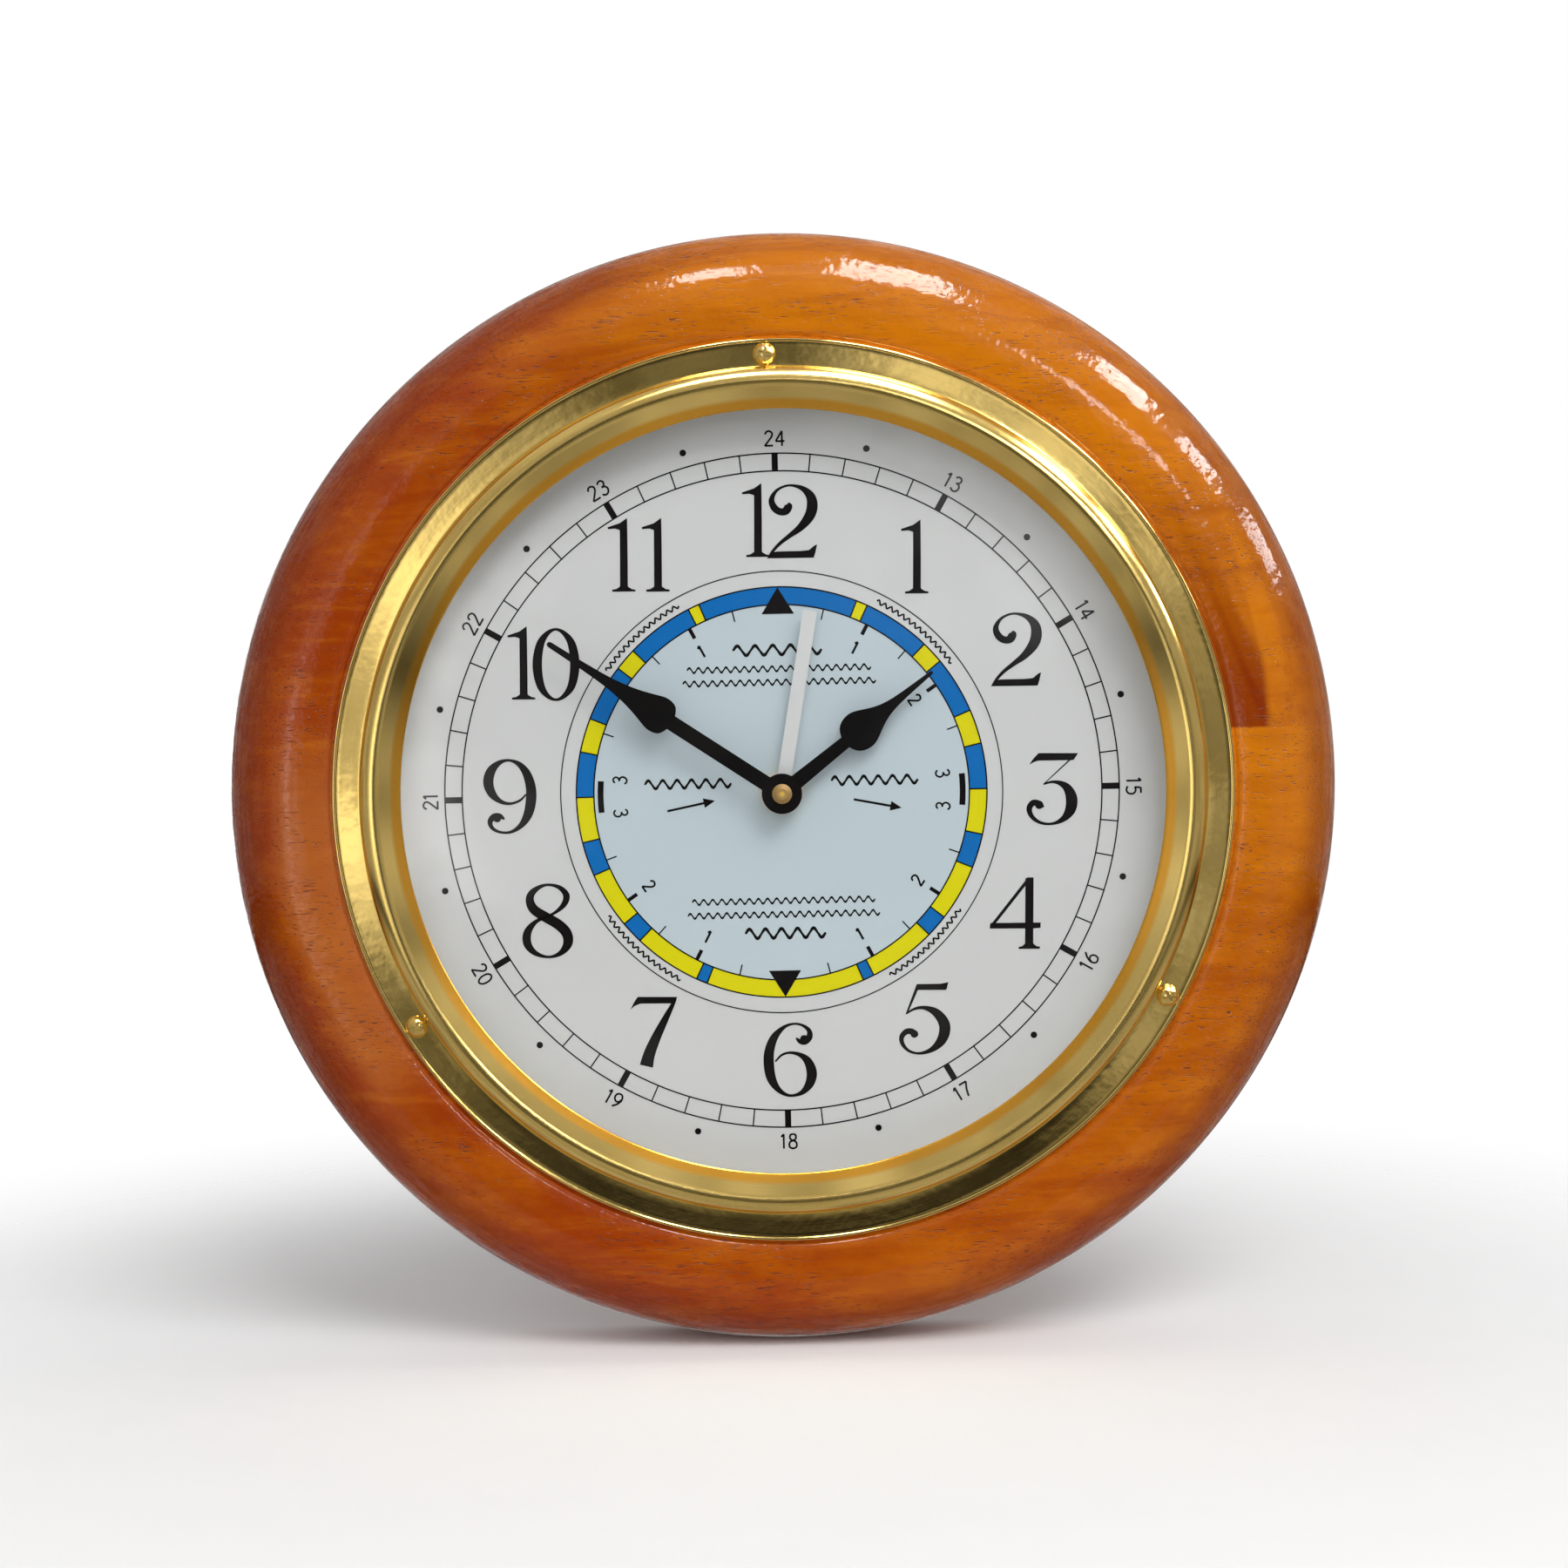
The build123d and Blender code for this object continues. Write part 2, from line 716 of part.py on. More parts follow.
# Battery: an AA cell lying across the bay, its nub to the right.
with BuildPart() as battery:
    with BuildSketch(Plane.XY):
        with BuildLine():
            Polyline(
                (battery_left, 0),
                (battery_left, battery_radius - battery_edge),
                (battery_left + battery_edge, battery_radius),
                (battery_right - battery_nub_length - battery_edge, battery_radius),
                (battery_right - battery_nub_length, battery_radius - battery_edge),
                (battery_right - battery_nub_length, battery_nub_radius),
                (battery_right, battery_nub_radius),
                (battery_right, 0),
                close=True,
            )
        make_face()
    revolve(axis=Axis.X)
battery.part.position = (0, total_depth / 2 - battery_height, -battery_drop)
keep(battery, "battery")

# Battery contacts: bent strips that run from the bay to the circuit board.
board_left = rotor_place[0] - coil_shift + coil_length / 2 + stator_arm_width * 2
board_right = half_width - post_inset - post_radius - contact_thickness * 2
board_low = third_place[1] + boss_radius
board_high = movement_top - shell_wall - board_margin
board_bottom = rear_inner + board_rise
board_top = board_bottom + board_thickness
strap_bottom = board_top
strap_top = strap_bottom + strap_width
strap_end_low = (board_low + board_high) / 2
contact_high = battery_height + contact_width / 2
contact_floor = movement_bottom + movement_corner + bay_gap
contact_side = inner_half_width - contact_thickness
strap_line = board_right + contact_thickness


with BuildPart() as positive_contact:
    block(
        contact_side,
        inner_half_width,
        contact_floor,
        bay_top - bay_gap,
        strap_bottom,
        contact_high,
    )
    block(contact_side, inner_half_width, contact_floor, strap_end_low, strap_bottom, strap_top)
    block(
        board_right - strap_width,
        inner_half_width,
        strap_end_low - strap_width,
        strap_end_low,
        strap_bottom,
        strap_bottom + contact_thickness,
    )
    block(
        battery_right + contact_thickness / 2,
        contact_side,
        -battery_drop - battery_nub_radius,
        -battery_drop + battery_nub_radius,
        battery_height - battery_nub_radius,
        battery_height + battery_nub_radius,
    )
keep(positive_contact, "positive_contact")

with BuildPart() as negative_contact:
    block(
        -inner_half_width,
        -contact_side,
        contact_floor,
        bay_top + bay_wall + plate_gap + contact_thickness,
        strap_bottom,
        contact_high,
    )
    block(
        -contact_side,
        battery_left - contact_thickness / 2,
        -battery_drop - contact_width / 2,
        -battery_drop - contact_width / 2 + contact_rise,
        strap_bottom,
        contact_high,
    )
    block(
        -contact_side,
        battery_left - contact_thickness / 2,
        -battery_drop + contact_width / 2 - contact_rise,
        -battery_drop + contact_width / 2,
        strap_bottom,
        contact_high,
    )
    block(
        -inner_half_width,
        strap_line,
        bay_top + bay_wall + plate_gap,
        bay_top + bay_wall + plate_gap + contact_thickness,
        strap_bottom,
        strap_top,
    )
    block(
        strap_line - contact_thickness,
        strap_line,
        bay_top + bay_wall + plate_gap,
        board_low + strap_width,
        strap_bottom,
        strap_top,
    )
    block(
        board_right - strap_width,
        strap_line,
        board_low,
        board_low + strap_width,
        strap_bottom,
        strap_bottom + contact_thickness,
    )
keep(negative_contact, "negative_contact")

# Circuit board on two posts' height above the cover, with its chip under a drop of resin.
with BuildPart() as circuit_board:
    block(board_left, board_right, board_low, board_high, board_bottom, board_top)
    for spot in (
        (board_left + board_margin, board_low + board_margin),
        (board_right - board_margin, board_high - board_margin),
    ):
        round_bar(spot, arbor_radius, rear_inner, board_bottom)
    with Locations(
        level(board_top).location
        * Location((board_left + board_margin + chip_width / 2, board_high - board_margin - chip_width / 2, 0))
    ):
        Cone(
            chip_width / 2,
            chip_width / 2 - chip_height,
            chip_height,
            align=(Align.CENTER, Align.CENTER, Align.MIN),
        )
keep(circuit_board, "circuit_board")

with BuildPart() as quartz_crystal:
    with Locations(
        Location(
            (
                board_left + board_margin + crystal_length / 2,
                total_depth / 2 - board_top - crystal_radius,
                board_low + crystal_radius + contact_thickness,
            ),
            (0, 90, 0),
        )
    ):
        Cylinder(crystal_radius, crystal_length)
keep(quartz_crystal, "quartz_crystal")

# Motor: coil on its core, stator plate round the rotor's magnet.
stator_bottom = second_level + wheel_thickness
stator_top = stator_bottom + stator_thickness
coil_middle = rotor_place[0] - coil_shift
coil_height = stator_bottom - core_thickness / 2
coil_left = coil_middle - coil_length / 2
coil_right = coil_middle + coil_length / 2
core_left = coil_left - stator_arm_width - coil_flange
core_right = coil_right + stator_arm_width + coil_flange

with BuildPart() as coil_core:
    block(
        core_left,
        core_right,
        coil_line - core_width / 2,
        coil_line + core_width / 2,
        stator_bottom - core_thickness,
        stator_bottom,
    )
keep(coil_core, "coil_core")

with BuildPart() as coil_winding:
    with Locations(
        Location((coil_middle, total_depth / 2 - coil_height, coil_line), (0, 90, 0)),
    ):
        Cylinder(coil_radius - coil_flange / 2, coil_length)
    for flange_middle in (coil_left + coil_flange / 2, coil_right - coil_flange / 2):
        with Locations(Location((flange_middle, total_depth / 2 - coil_height, coil_line), (0, 90, 0))):
            Cylinder(coil_radius, coil_flange)
    block(
        core_left,
        core_right,
        coil_line - core_width / 2 - pilot_gap,
        coil_line + core_width / 2 + pilot_gap,
        stator_bottom - core_thickness - pilot_gap,
        stator_bottom + pilot_gap,
        Mode.SUBTRACT,
    )
keep(coil_winding, "coil_winding")

with BuildPart() as stator:
    block(
        core_left,
        core_right,
        rotor_place[1] - stator_bar_height / 2,
        rotor_place[1] + stator_bar_height / 2,
        stator_bottom,
        stator_top,
    )
    round_bar(rotor_place, magnet_radius + magnet_gap + coil_flange, stator_bottom, stator_top)
    for left in (core_left, core_right - stator_arm_width):
        block(
            left,
            left + stator_arm_width,
            rotor_place[1],
            coil_line + core_width / 2,
            stator_bottom,
            stator_top,
        )
    round_bar(
        rotor_place,
        magnet_radius + magnet_gap,
        stator_bottom - overrun,
        stator_top + overrun,
        Mode.SUBTRACT,
    )
keep(stator, "stator")

# Rotor and going train, from the motor to the centre wheel.
arbor_bottom = rear_inner + plate_gap
rear_pivot = rear_face + shell_wall / 2
arbor_top = plate_back - plate_gap
front_pivot = plate_back + plate_thickness / 2

with BuildPart() as rotor:
    arbor(rotor_place, arbor_bottom, arbor_top, rear_pivot, front_pivot)
    leaves(rotor_place, rotor_leaves, rotor_module, leaf_shift_share, 0, intermediate_level)
    magnet_bottom = (stator_bottom + stator_top - magnet_height) / 2
    round_bar(rotor_place, magnet_radius, magnet_bottom, magnet_bottom + magnet_height)
keep(rotor, "rotor")

with BuildPart() as intermediate_wheel:
    arbor(intermediate_place, arbor_bottom, arbor_top, rear_pivot, front_pivot)
    wheel(
        intermediate_place,
        intermediate_teeth,
        rotor_module,
        -leaf_shift_share,
        intermediate_phase,
        intermediate_level,
        boss_radius,
    )
    leaves(intermediate_place, intermediate_leaves, second_module, leaf_shift_share, 0, second_level)
keep(intermediate_wheel, "intermediate_wheel")

with BuildPart() as second_wheel:
    arbor(centre_place, arbor_bottom, arbor_top, rear_pivot, front_pivot)
    wheel(
        centre_place,
        second_teeth,
        second_module,
        -leaf_shift_share,
        second_phase,
        second_level,
        boss_radius,
    )
    leaves(centre_place, second_leaves, third_module, leaf_shift_share, 0, third_level)
keep(second_wheel, "second_wheel")

with BuildPart() as third_wheel:
    round_bar(third_place, arbor_radius, arbor_bottom, centre_level)
    round_bar(third_place, pivot_radius, rear_pivot, arbor_bottom)
    wheel(
        third_place,
        third_teeth,
        third_module,
        -leaf_shift_share,
        third_phase,
        third_level,
        boss_radius,
        spokes=4,
    )
    leaves(third_place, third_leaves, centre_module, leaf_shift_share, 0, centre_level)
keep(third_wheel, "third_wheel")

with BuildPart() as centre_wheel:
    wheel(
        centre_place,
        centre_teeth,
        centre_module,
        -leaf_shift_share,
        centre_phase,
        centre_level,
        boss_radius,
        spokes=4,
    )
    round_bar(
        centre_place,
        centre_arbor_radius + running_gap,
        centre_level - overrun,
        centre_level + wheel_thickness + overrun,
        Mode.SUBTRACT,
    )
keep(centre_wheel, "centre_wheel")

# Friction spring that lets the hands be set while the centre wheel stands still.
clutch_bottom = centre_level + wheel_thickness + running_gap
clutch_top = minute_level - pinion_overhang - running_gap
clutch_sheet = pinion_overhang

with BuildPart() as clutch_spring:
    round_bar(centre_place, boss_radius, clutch_top - clutch_sheet, clutch_top)
    with BuildSketch(level(clutch_top - clutch_sheet)):
        with PolarLocations(boss_radius + arbor_radius, 3):
            Rectangle(boss_radius * 2, arbor_radius * 2)
    extrude(amount=clutch_sheet)
    with BuildSketch(level(clutch_bottom)):
        with PolarLocations(boss_radius * 2, 3):
            Rectangle(arbor_radius, arbor_radius * 2)
    extrude(amount=clutch_top - clutch_bottom)
    round_bar(
        centre_place,
        centre_arbor_radius + hand_fit,
        clutch_bottom - overrun,
        clutch_top + overrun,
        Mode.SUBTRACT,
    )
keep(clutch_spring, "clutch_spring")

# Motion work on the centre arbor, with the nested tubes of the hour and tide hands.
arbor_foot = plate_front + pilot_gap
with BuildPart() as centre_arbor:
    round_bar(centre_place, centre_arbor_radius, arbor_foot, arbor_tip)
    leaves(centre_place, cannon_leaves, cannon_module, 0, 0, minute_level)
keep(centre_arbor, "centre_arbor")

minute_leaf_top = tide_level + wheel_thickness + pinion_overhang
with BuildPart() as minute_wheel:
    wheel(
        minute_place,
        minute_teeth,
        cannon_module,
        0,
        minute_phase,
        minute_level,
        boss_radius,
        spokes=4,
    )
    toothed_disc(
        minute_place,
        minute_leaves,
        motion_module,
        minute_leaf_shift_share,
        minute_leaf_phase,
        minute_level,
        minute_leaf_top,
        curved=True,
    )
    round_bar(
        minute_place,
        arbor_radius + running_gap,
        minute_level - overrun,
        minute_leaf_top + overrun,
        Mode.SUBTRACT,
    )
keep(minute_wheel, "minute_wheel")

hour_tube_top = hour_hand_height + hand_thickness + hand_fit
with BuildPart() as hour_wheel:
    wheel(
        centre_place,
        hour_teeth,
        motion_module,
        hour_shift,
        hour_phase,
        hour_level,
        tide_tube_radius,
        spokes=5,
    )
    round_bar(centre_place, hour_tube_radius, hour_level, hour_tube_top)
    round_bar(centre_place, hour_bore, hour_level - overrun, hour_tube_top + overrun, Mode.SUBTRACT)
keep(hour_wheel, "hour_wheel")

tide_tube_top = tide_hand_height + hand_thickness + hand_fit
with BuildPart() as tide_wheel:
    wheel(
        centre_place,
        tide_teeth,
        motion_module,
        tide_shift,
        tide_phase,
        tide_level,
        bush_radius,
        spokes=5,
    )
    round_bar(centre_place, tide_tube_radius, tide_level, tide_tube_top)
    round_bar(centre_place, tide_bore, tide_level - overrun, tide_tube_top + overrun, Mode.SUBTRACT)
keep(tide_wheel, "tide_wheel")

# Setting knobs behind the cover, each with its stem and pinion.


def set_knob(place):
    """A ridged knob with a screwdriver slot."""
    with BuildSketch(level(knob_bottom)) as outline:
        with Locations(place):
            RegularPolygon(set_knob_radius, set_knob_sides)
    extrude(to_extrude=outline.sketch, amount=set_knob_height)
    block(
        place[0] - set_knob_radius,
        place[0] + set_knob_radius,
        place[1] - set_slot_width / 2,
        place[1] + set_slot_width / 2,
        knob_bottom - overrun,
        knob_bottom + set_slot_depth,
        Mode.SUBTRACT,
    )


with BuildPart() as time_set_knob:
    set_knob(time_set_place)
    round_bar(time_set_place, set_stem_radius, knob_top, minute_level)
    leaves(time_set_place, time_set_leaves, cannon_module, set_shift_share, time_set_phase, minute_level)
keep(time_set_knob, "time_set_knob")

with BuildPart() as tide_set_knob:
    set_knob(tide_set_place)
    round_bar(tide_set_place, set_stem_radius, knob_top, tide_level)
    leaves(tide_set_place, tide_set_leaves, motion_module, set_shift_share, tide_set_phase, tide_level)
keep(tide_set_knob, "tide_set_knob")


# Hands
def spade_hand(turn, height, length, stem_root, stem_end, bulb_radius, bulb_centre, tip_width):
    """A spade hand: hub, tapering stem, round bulb and a concave point."""
    bulb_joint = bulb_centre - sqrt(bulb_radius**2 - (stem_end / 2) ** 2)
    waist = bulb_centre + (length - bulb_centre) * hand_waist_share
    waist_half = bulb_radius * hand_waist_width_share
    shoulder = (bulb_radius * cos(radians(30)), bulb_centre + bulb_radius * sin(radians(30)))
    with BuildSketch(turned_level(height, turn)) as outline:
        Circle(hub_radius)
        with Locations((0, bulb_centre)):
            Circle(bulb_radius)
        with BuildLine():
            Polyline(
                (0, 0),
                (stem_root / 2, 0),
                (stem_end / 2, bulb_joint),
                (0, bulb_centre),
                (-stem_end / 2, bulb_joint),
                (-stem_root / 2, 0),
                close=True,
            )
        make_face()
        with BuildLine():
            right = ThreePointArc(shoulder, (waist_half, waist), (tip_width / 2, length))
            Line(right @ 1, (-tip_width / 2, length))
            left = ThreePointArc((-tip_width / 2, length), (-waist_half, waist), (-shoulder[0], shoulder[1]))
            Line(left @ 1, shoulder)
        make_face()
    extrude(to_extrude=outline.sketch, amount=hand_thickness)


with BuildPart() as minute_hand:
    spade_hand(
        minute_hand_angle,
        minute_hand_height,
        minute_hand_length,
        minute_stem_root,
        minute_stem_end,
        minute_bulb_radius,
        minute_bulb_centre,
        minute_tip_width,
    )
    round_bar(
        centre_place,
        centre_arbor_radius + hand_fit,
        minute_hand_height - overrun,
        minute_hand_height + overrun,
        Mode.SUBTRACT,
    )
keep(minute_hand, "minute_hand")

with BuildPart() as hour_hand:
    spade_hand(
        hour_hand_angle,
        hour_hand_height,
        hour_hand_length,
        hour_stem_root,
        hour_stem_end,
        hour_bulb_radius,
        hour_bulb_centre,
        hour_tip_width,
    )
    round_bar(
        centre_place,
        hour_tube_radius + hand_fit,
        hour_hand_height - overrun,
        hour_hand_height + overrun,
        Mode.SUBTRACT,
    )
keep(hour_hand, "hour_hand")

with BuildPart() as tide_hand:
    with BuildSketch(turned_level(tide_hand_height, tide_hand_angle)) as baton:
        Circle(hub_radius)
        with Locations((0, tide_hand_length / 2)):
            Rectangle(tide_hand_width, tide_hand_length)
        Circle(tide_tube_radius + hand_fit, mode=Mode.SUBTRACT)
    extrude(amount=hand_thickness)
keep(tide_hand, "tide_hand")

# Closed nut on the tip of the centre arbor.
nut_shoulder_share = 0.45
nut_flat_share = 0.55
with BuildPart() as hand_nut:
    with BuildSketch(Plane(origin=(0, total_depth / 2 - hand_nut_base, 0), x_dir=(1, 0, 0), z_dir=(0, 0, -1))):
        with BuildLine():
            Polyline(
                (hand_nut_radius * nut_flat_share, hand_nut_height),
                (0, hand_nut_height),
                (0, 0),
                (hand_nut_radius, 0),
                (hand_nut_radius, hand_nut_height * nut_shoulder_share),
                close=True,
            )
        make_face()
    revolve(axis=Axis.Y)
    round_bar(centre_place, centre_arbor_radius + hand_fit, hand_nut_base - overrun, arbor_tip, Mode.SUBTRACT)
keep(hand_nut, "hand_nut")

# Keyhole plate, let in flush with the back of the ring.
with BuildPart() as hanger_plate:
    with BuildSketch(level(0)):
        with Locations((0, hanger_centre)):
            RectangleRounded(hanger_width, hanger_height, hanger_corner)
        with Locations((0, keyhole_centre)):
            Circle(keyhole_radius, mode=Mode.SUBTRACT)
        with Locations((0, (keyhole_centre + slot_end) / 2)):
            SlotCenterToCenter(keyhole_slot_length, keyhole_slot_width, rotation=90, mode=Mode.SUBTRACT)
    extrude(amount=hanger_thickness)
    for spot in hanger_screw_places:
        with Locations(level(0).location * Location((spot[0], spot[1], 0))):
            Cone(
                hanger_head_radius + pilot_gap,
                hanger_screw_radius + pilot_gap,
                hanger_thickness,
                align=(Align.CENTER, Align.CENTER, Align.MIN),
                mode=Mode.SUBTRACT,
            )
keep(hanger_plate, "hanger_plate")

with BuildPart() as hanger_screws:
    for spot in hanger_screw_places:
        with Locations(level(0).location * Location((spot[0], spot[1], 0))):
            Cone(
                hanger_head_radius,
                hanger_screw_radius,
                hanger_thickness,
                align=(Align.CENTER, Align.CENTER, Align.MIN),
            )
        round_bar(spot, hanger_screw_radius, hanger_thickness, hanger_screw_length)
keep(hanger_screws, "hanger_screws")
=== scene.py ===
import bpy
import bmesh
import math
from mathutils import Matrix, Vector


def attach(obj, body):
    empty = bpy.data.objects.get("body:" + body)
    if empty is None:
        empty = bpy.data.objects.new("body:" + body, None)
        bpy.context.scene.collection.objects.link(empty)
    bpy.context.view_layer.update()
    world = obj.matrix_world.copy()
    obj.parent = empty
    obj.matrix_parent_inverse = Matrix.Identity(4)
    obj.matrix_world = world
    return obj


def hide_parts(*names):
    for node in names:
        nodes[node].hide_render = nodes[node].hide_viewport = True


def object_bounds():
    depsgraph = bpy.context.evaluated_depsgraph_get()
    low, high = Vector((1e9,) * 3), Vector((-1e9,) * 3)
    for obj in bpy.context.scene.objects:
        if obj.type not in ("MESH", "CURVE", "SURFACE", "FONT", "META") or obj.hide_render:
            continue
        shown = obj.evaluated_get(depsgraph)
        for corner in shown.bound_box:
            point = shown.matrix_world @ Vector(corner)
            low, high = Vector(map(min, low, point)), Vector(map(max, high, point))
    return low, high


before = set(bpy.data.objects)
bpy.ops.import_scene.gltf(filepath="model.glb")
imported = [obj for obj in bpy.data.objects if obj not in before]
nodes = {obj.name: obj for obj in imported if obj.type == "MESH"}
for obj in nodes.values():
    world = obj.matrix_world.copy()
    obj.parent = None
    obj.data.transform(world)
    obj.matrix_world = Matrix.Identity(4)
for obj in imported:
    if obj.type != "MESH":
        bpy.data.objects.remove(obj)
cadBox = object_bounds()
print("frame loaded,", len(nodes), "nodes")

mm = 0.001
wall = 20.75  # the wall is this far behind the middle, in mm


# materials: sockets that take plain sums

class Wire:
    def __init__(self, paint, socket):
        self.paint = paint
        self.socket = socket

    def __add__(self, other):
        return self.paint.maths("ADD", self, other)

    def __sub__(self, other):
        return self.paint.maths("SUBTRACT", self, other)

    def __rsub__(self, other):
        return self.paint.maths("SUBTRACT", other, self)

    def __mul__(self, other):
        return self.paint.maths("MULTIPLY", self, other)

    def __gt__(self, other):
        return self.paint.maths("GREATER_THAN", self, other)

    def __lt__(self, other):
        return self.paint.maths("LESS_THAN", self, other)

    __radd__ = __add__
    __rmul__ = __mul__


class Paint:
    def __init__(self, name, tree=None):
        if tree is None:
            self.material = bpy.data.materials.new(name)
            self.material.use_nodes = True
            tree = self.material.node_tree
        self.tree = tree
        self.tree.nodes.clear()
        self.place = None

    def node(self, kind, settings=None, sockets=None, output=0):
        made = self.tree.nodes.new("ShaderNode" + kind)
        for name, value in (settings or {}).items():
            setattr(made, name, value)
        for name, value in (sockets or {}).items():
            socket = made.inputs[name]
            if isinstance(value, Wire):
                self.tree.links.new(value.socket, socket)
            else:
                socket.default_value = value
        return Wire(self, made.outputs[output]) if made.outputs else made

    def maths(self, operation, first, second=0.0, clamp=False):
        return self.node("Math", {"operation": operation, "use_clamp": clamp}, {0: first, 1: second})

    def clamp(self, value):
        return self.maths("ADD", value, 0.0, clamp=True)

    def smooth(self, value, low, high):
        sockets = {"Value": value, "From Min": low, "From Max": high}
        return self.node("MapRange", {"interpolation_type": "SMOOTHSTEP"}, sockets)

    def between(self, value, rise, fall):  # a gate that rises over two marks and falls over two
        return self.smooth(value, *rise) * self.smooth(value, *fall)

    def blend(self, factor, first, second):
        return self.node("Mix", {"data_type": "RGBA"}, {"Factor": factor, 6: first, 7: second}, 2)

    def scaled(self, vector, scale):
        return self.node("VectorMath", {"operation": "SCALE"}, {0: vector, "Scale": scale})

    def where(self):  # the point in millimetres, as drawn at rest
        if self.place is None:
            self.place = self.scaled(self.node("TexCoord", output=3), 1 / mm)
        return self.place

    def split(self, vector):
        parts = self.node("SeparateXYZ", None, {0: vector}).socket.node
        return [Wire(self, output) for output in parts.outputs]

    def axes(self):  # the point's x, y and z and its distance from the hands' axis
        x, y, z = self.split(self.where())
        return x, y, z, self.maths("SQRT", x * x + z * z)

    def join(self, x, y, z):
        return self.node("CombineXYZ", None, {0: x, 1: y, 2: z})

    def noise(self, vector, scale, detail=2.0, roughness=0.5, distortion=0.0):
        sockets = {"Vector": vector, "Scale": scale, "Detail": detail, "Roughness": roughness}
        return self.node("TexNoise", None, {**sockets, "Distortion": distortion})

    def bump(self, height, strength, distance):
        return self.node("Bump", None, {"Strength": strength, "Distance": distance, "Height": height})

    def close(self, surface):
        self.node("OutputMaterial", None, {"Surface": surface})
        return self.material

    def finish(self, sockets):
        return self.close(self.node("BsdfPrincipled", None, sockets))


def tone(red, green, blue):  # an sRGB colour, 0 to 255, as Blender's linear one
    def line(value):
        value /= 255
        return value / 12.92 if value <= 0.04045 else ((value + 0.055) / 1.055) ** 2.4
    return (line(red), line(green), line(blue), 1.0)


# shapes

def place(x, height, z):  # a point of the clock, height from the wall, in mm
    return Vector((x * mm, (wall - height) * mm, z * mm))


def meshPiece(name, points, faces, material, sharp=35.0, weld=False):
    mesh = bpy.data.meshes.new(name)
    mesh.from_pydata(points, [], faces)
    work = bmesh.new()
    work.from_mesh(mesh)
    if weld:
        bmesh.ops.remove_doubles(work, verts=work.verts, dist=1e-7)
    bmesh.ops.recalc_face_normals(work, faces=work.faces)
    work.to_mesh(mesh)
    work.free()
    mesh.polygons.foreach_set("use_smooth", [True] * len(mesh.polygons))
    mesh.set_sharp_from_angle(angle=math.radians(sharp))
    mesh.materials.append(material)
    piece = bpy.data.objects.new(name, mesh)
    bpy.context.scene.collection.objects.link(piece)
    return piece


def arc(centre, radius, start, end, steps):
    turns = [math.radians(start + (end - start) * k / steps) for k in range(steps + 1)]
    return [(centre[0] + radius * math.cos(turn), centre[1] + radius * math.sin(turn)) for turn in turns]


def stretch(start, end, steps):
    way = (end[0] - start[0], end[1] - start[1])
    return [(start[0] + way[0] * k / steps, start[1] + way[1] * k / steps) for k in range(steps)]


def around(radius, turn):  # a point at a clock angle
    return (radius * math.sin(math.radians(turn)), radius * math.cos(math.radians(turn)))


def turnedBy(point, turn):  # clockwise, in degrees
    x, z = point
    spin = math.radians(turn)
    return (x * math.cos(spin) + z * math.sin(spin), z * math.cos(spin) - x * math.sin(spin))


def turned(name, profile, turns, material, middle=(0, 0), sharp=35.0, closed=True):
    points, faces = [], []
    count = len(profile)
    for turn in range(turns):
        angle = 2 * math.pi * turn / turns
        for radius, height in profile:
            x, z = radius * math.sin(angle), radius * math.cos(angle)
            points.append(place(middle[0] + x, height, middle[1] + z))
    for turn in range(turns):
        here, following = turn * count, (turn + 1) % turns * count
        for k in range(count if closed else count - 1):
            step = (k + 1) % count
            faces.append((here + k, here + step, following + step, following + k))
    return meshPiece(name, points, faces, material, sharp, not closed)


def prism(name, outline, low, high, material):
    count = len(outline)
    points = [place(x, height, z) for height in (low, high) for x, z in outline]
    faces = [tuple(range(count)), tuple(range(count, 2 * count))]
    faces += [(k, (k + 1) % count, count + (k + 1) % count, count + k) for k in range(count)]
    return meshPiece(name, points, faces, material)


def carve(piece, cutters, sharp=35.0):
    for number, cutter in enumerate(cutters):
        cut = piece.modifiers.new("cut%d" % number, "BOOLEAN")
        cut.operation = "DIFFERENCE"
        cut.solver = "EXACT"
        cut.object = cutter
    bpy.context.view_layer.update()
    carved = piece.evaluated_get(bpy.context.evaluated_depsgraph_get())
    done = bpy.data.meshes.new_from_object(carved)
    piece.modifiers.clear()
    done.set_sharp_from_angle(angle=math.radians(sharp))
    piece.data = done
    for cutter in cutters:
        bpy.data.objects.remove(cutter)


def belongs(piece, body, slot, *stands):  # the body that carries it, its finish (not used), the nodes it stands for
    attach(piece, body)
    if stands:
        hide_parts(*stands)
    return piece


# camera: angles in degrees, its distance in mm

view = {
    "azimuth": 1.301, "elevation": 2.027, "distance": 763.7, "yaw": -0.880, "pitch": 3.634, "roll": -1.302,
    "lens": 56.996, "sensor": 36.0, "shiftX": 0.0611, "shiftY": 0.0512, "near": 0.01, "far": 50,
}

bearing, rise = math.radians(view["azimuth"]), math.radians(view["elevation"])
backward = Vector((-math.sin(bearing) * math.cos(rise), -math.cos(bearing) * math.cos(rise), math.sin(rise)))
eye = backward * view["distance"] * mm
yaw, pitch, roll = (math.radians(view[part]) for part in ("yaw", "pitch", "roll"))
ahead = Vector((math.sin(yaw) * math.cos(pitch), math.cos(yaw) * math.cos(pitch), -math.sin(pitch)))
right = ahead.cross(Vector((0, 0, 1))).normalized()
above = right.cross(ahead)
turnedRight = right * math.cos(roll) + above * math.sin(roll)
turnedUp = above * math.cos(roll) - right * math.sin(roll)
lensData = bpy.data.cameras.new("viewCamera")
lensData.lens = view["lens"]
lensData.sensor_width = view["sensor"]
lensData.shift_x = view["shiftX"]
lensData.shift_y = view["shiftY"]
lensData.clip_start = view["near"]
lensData.clip_end = view["far"]
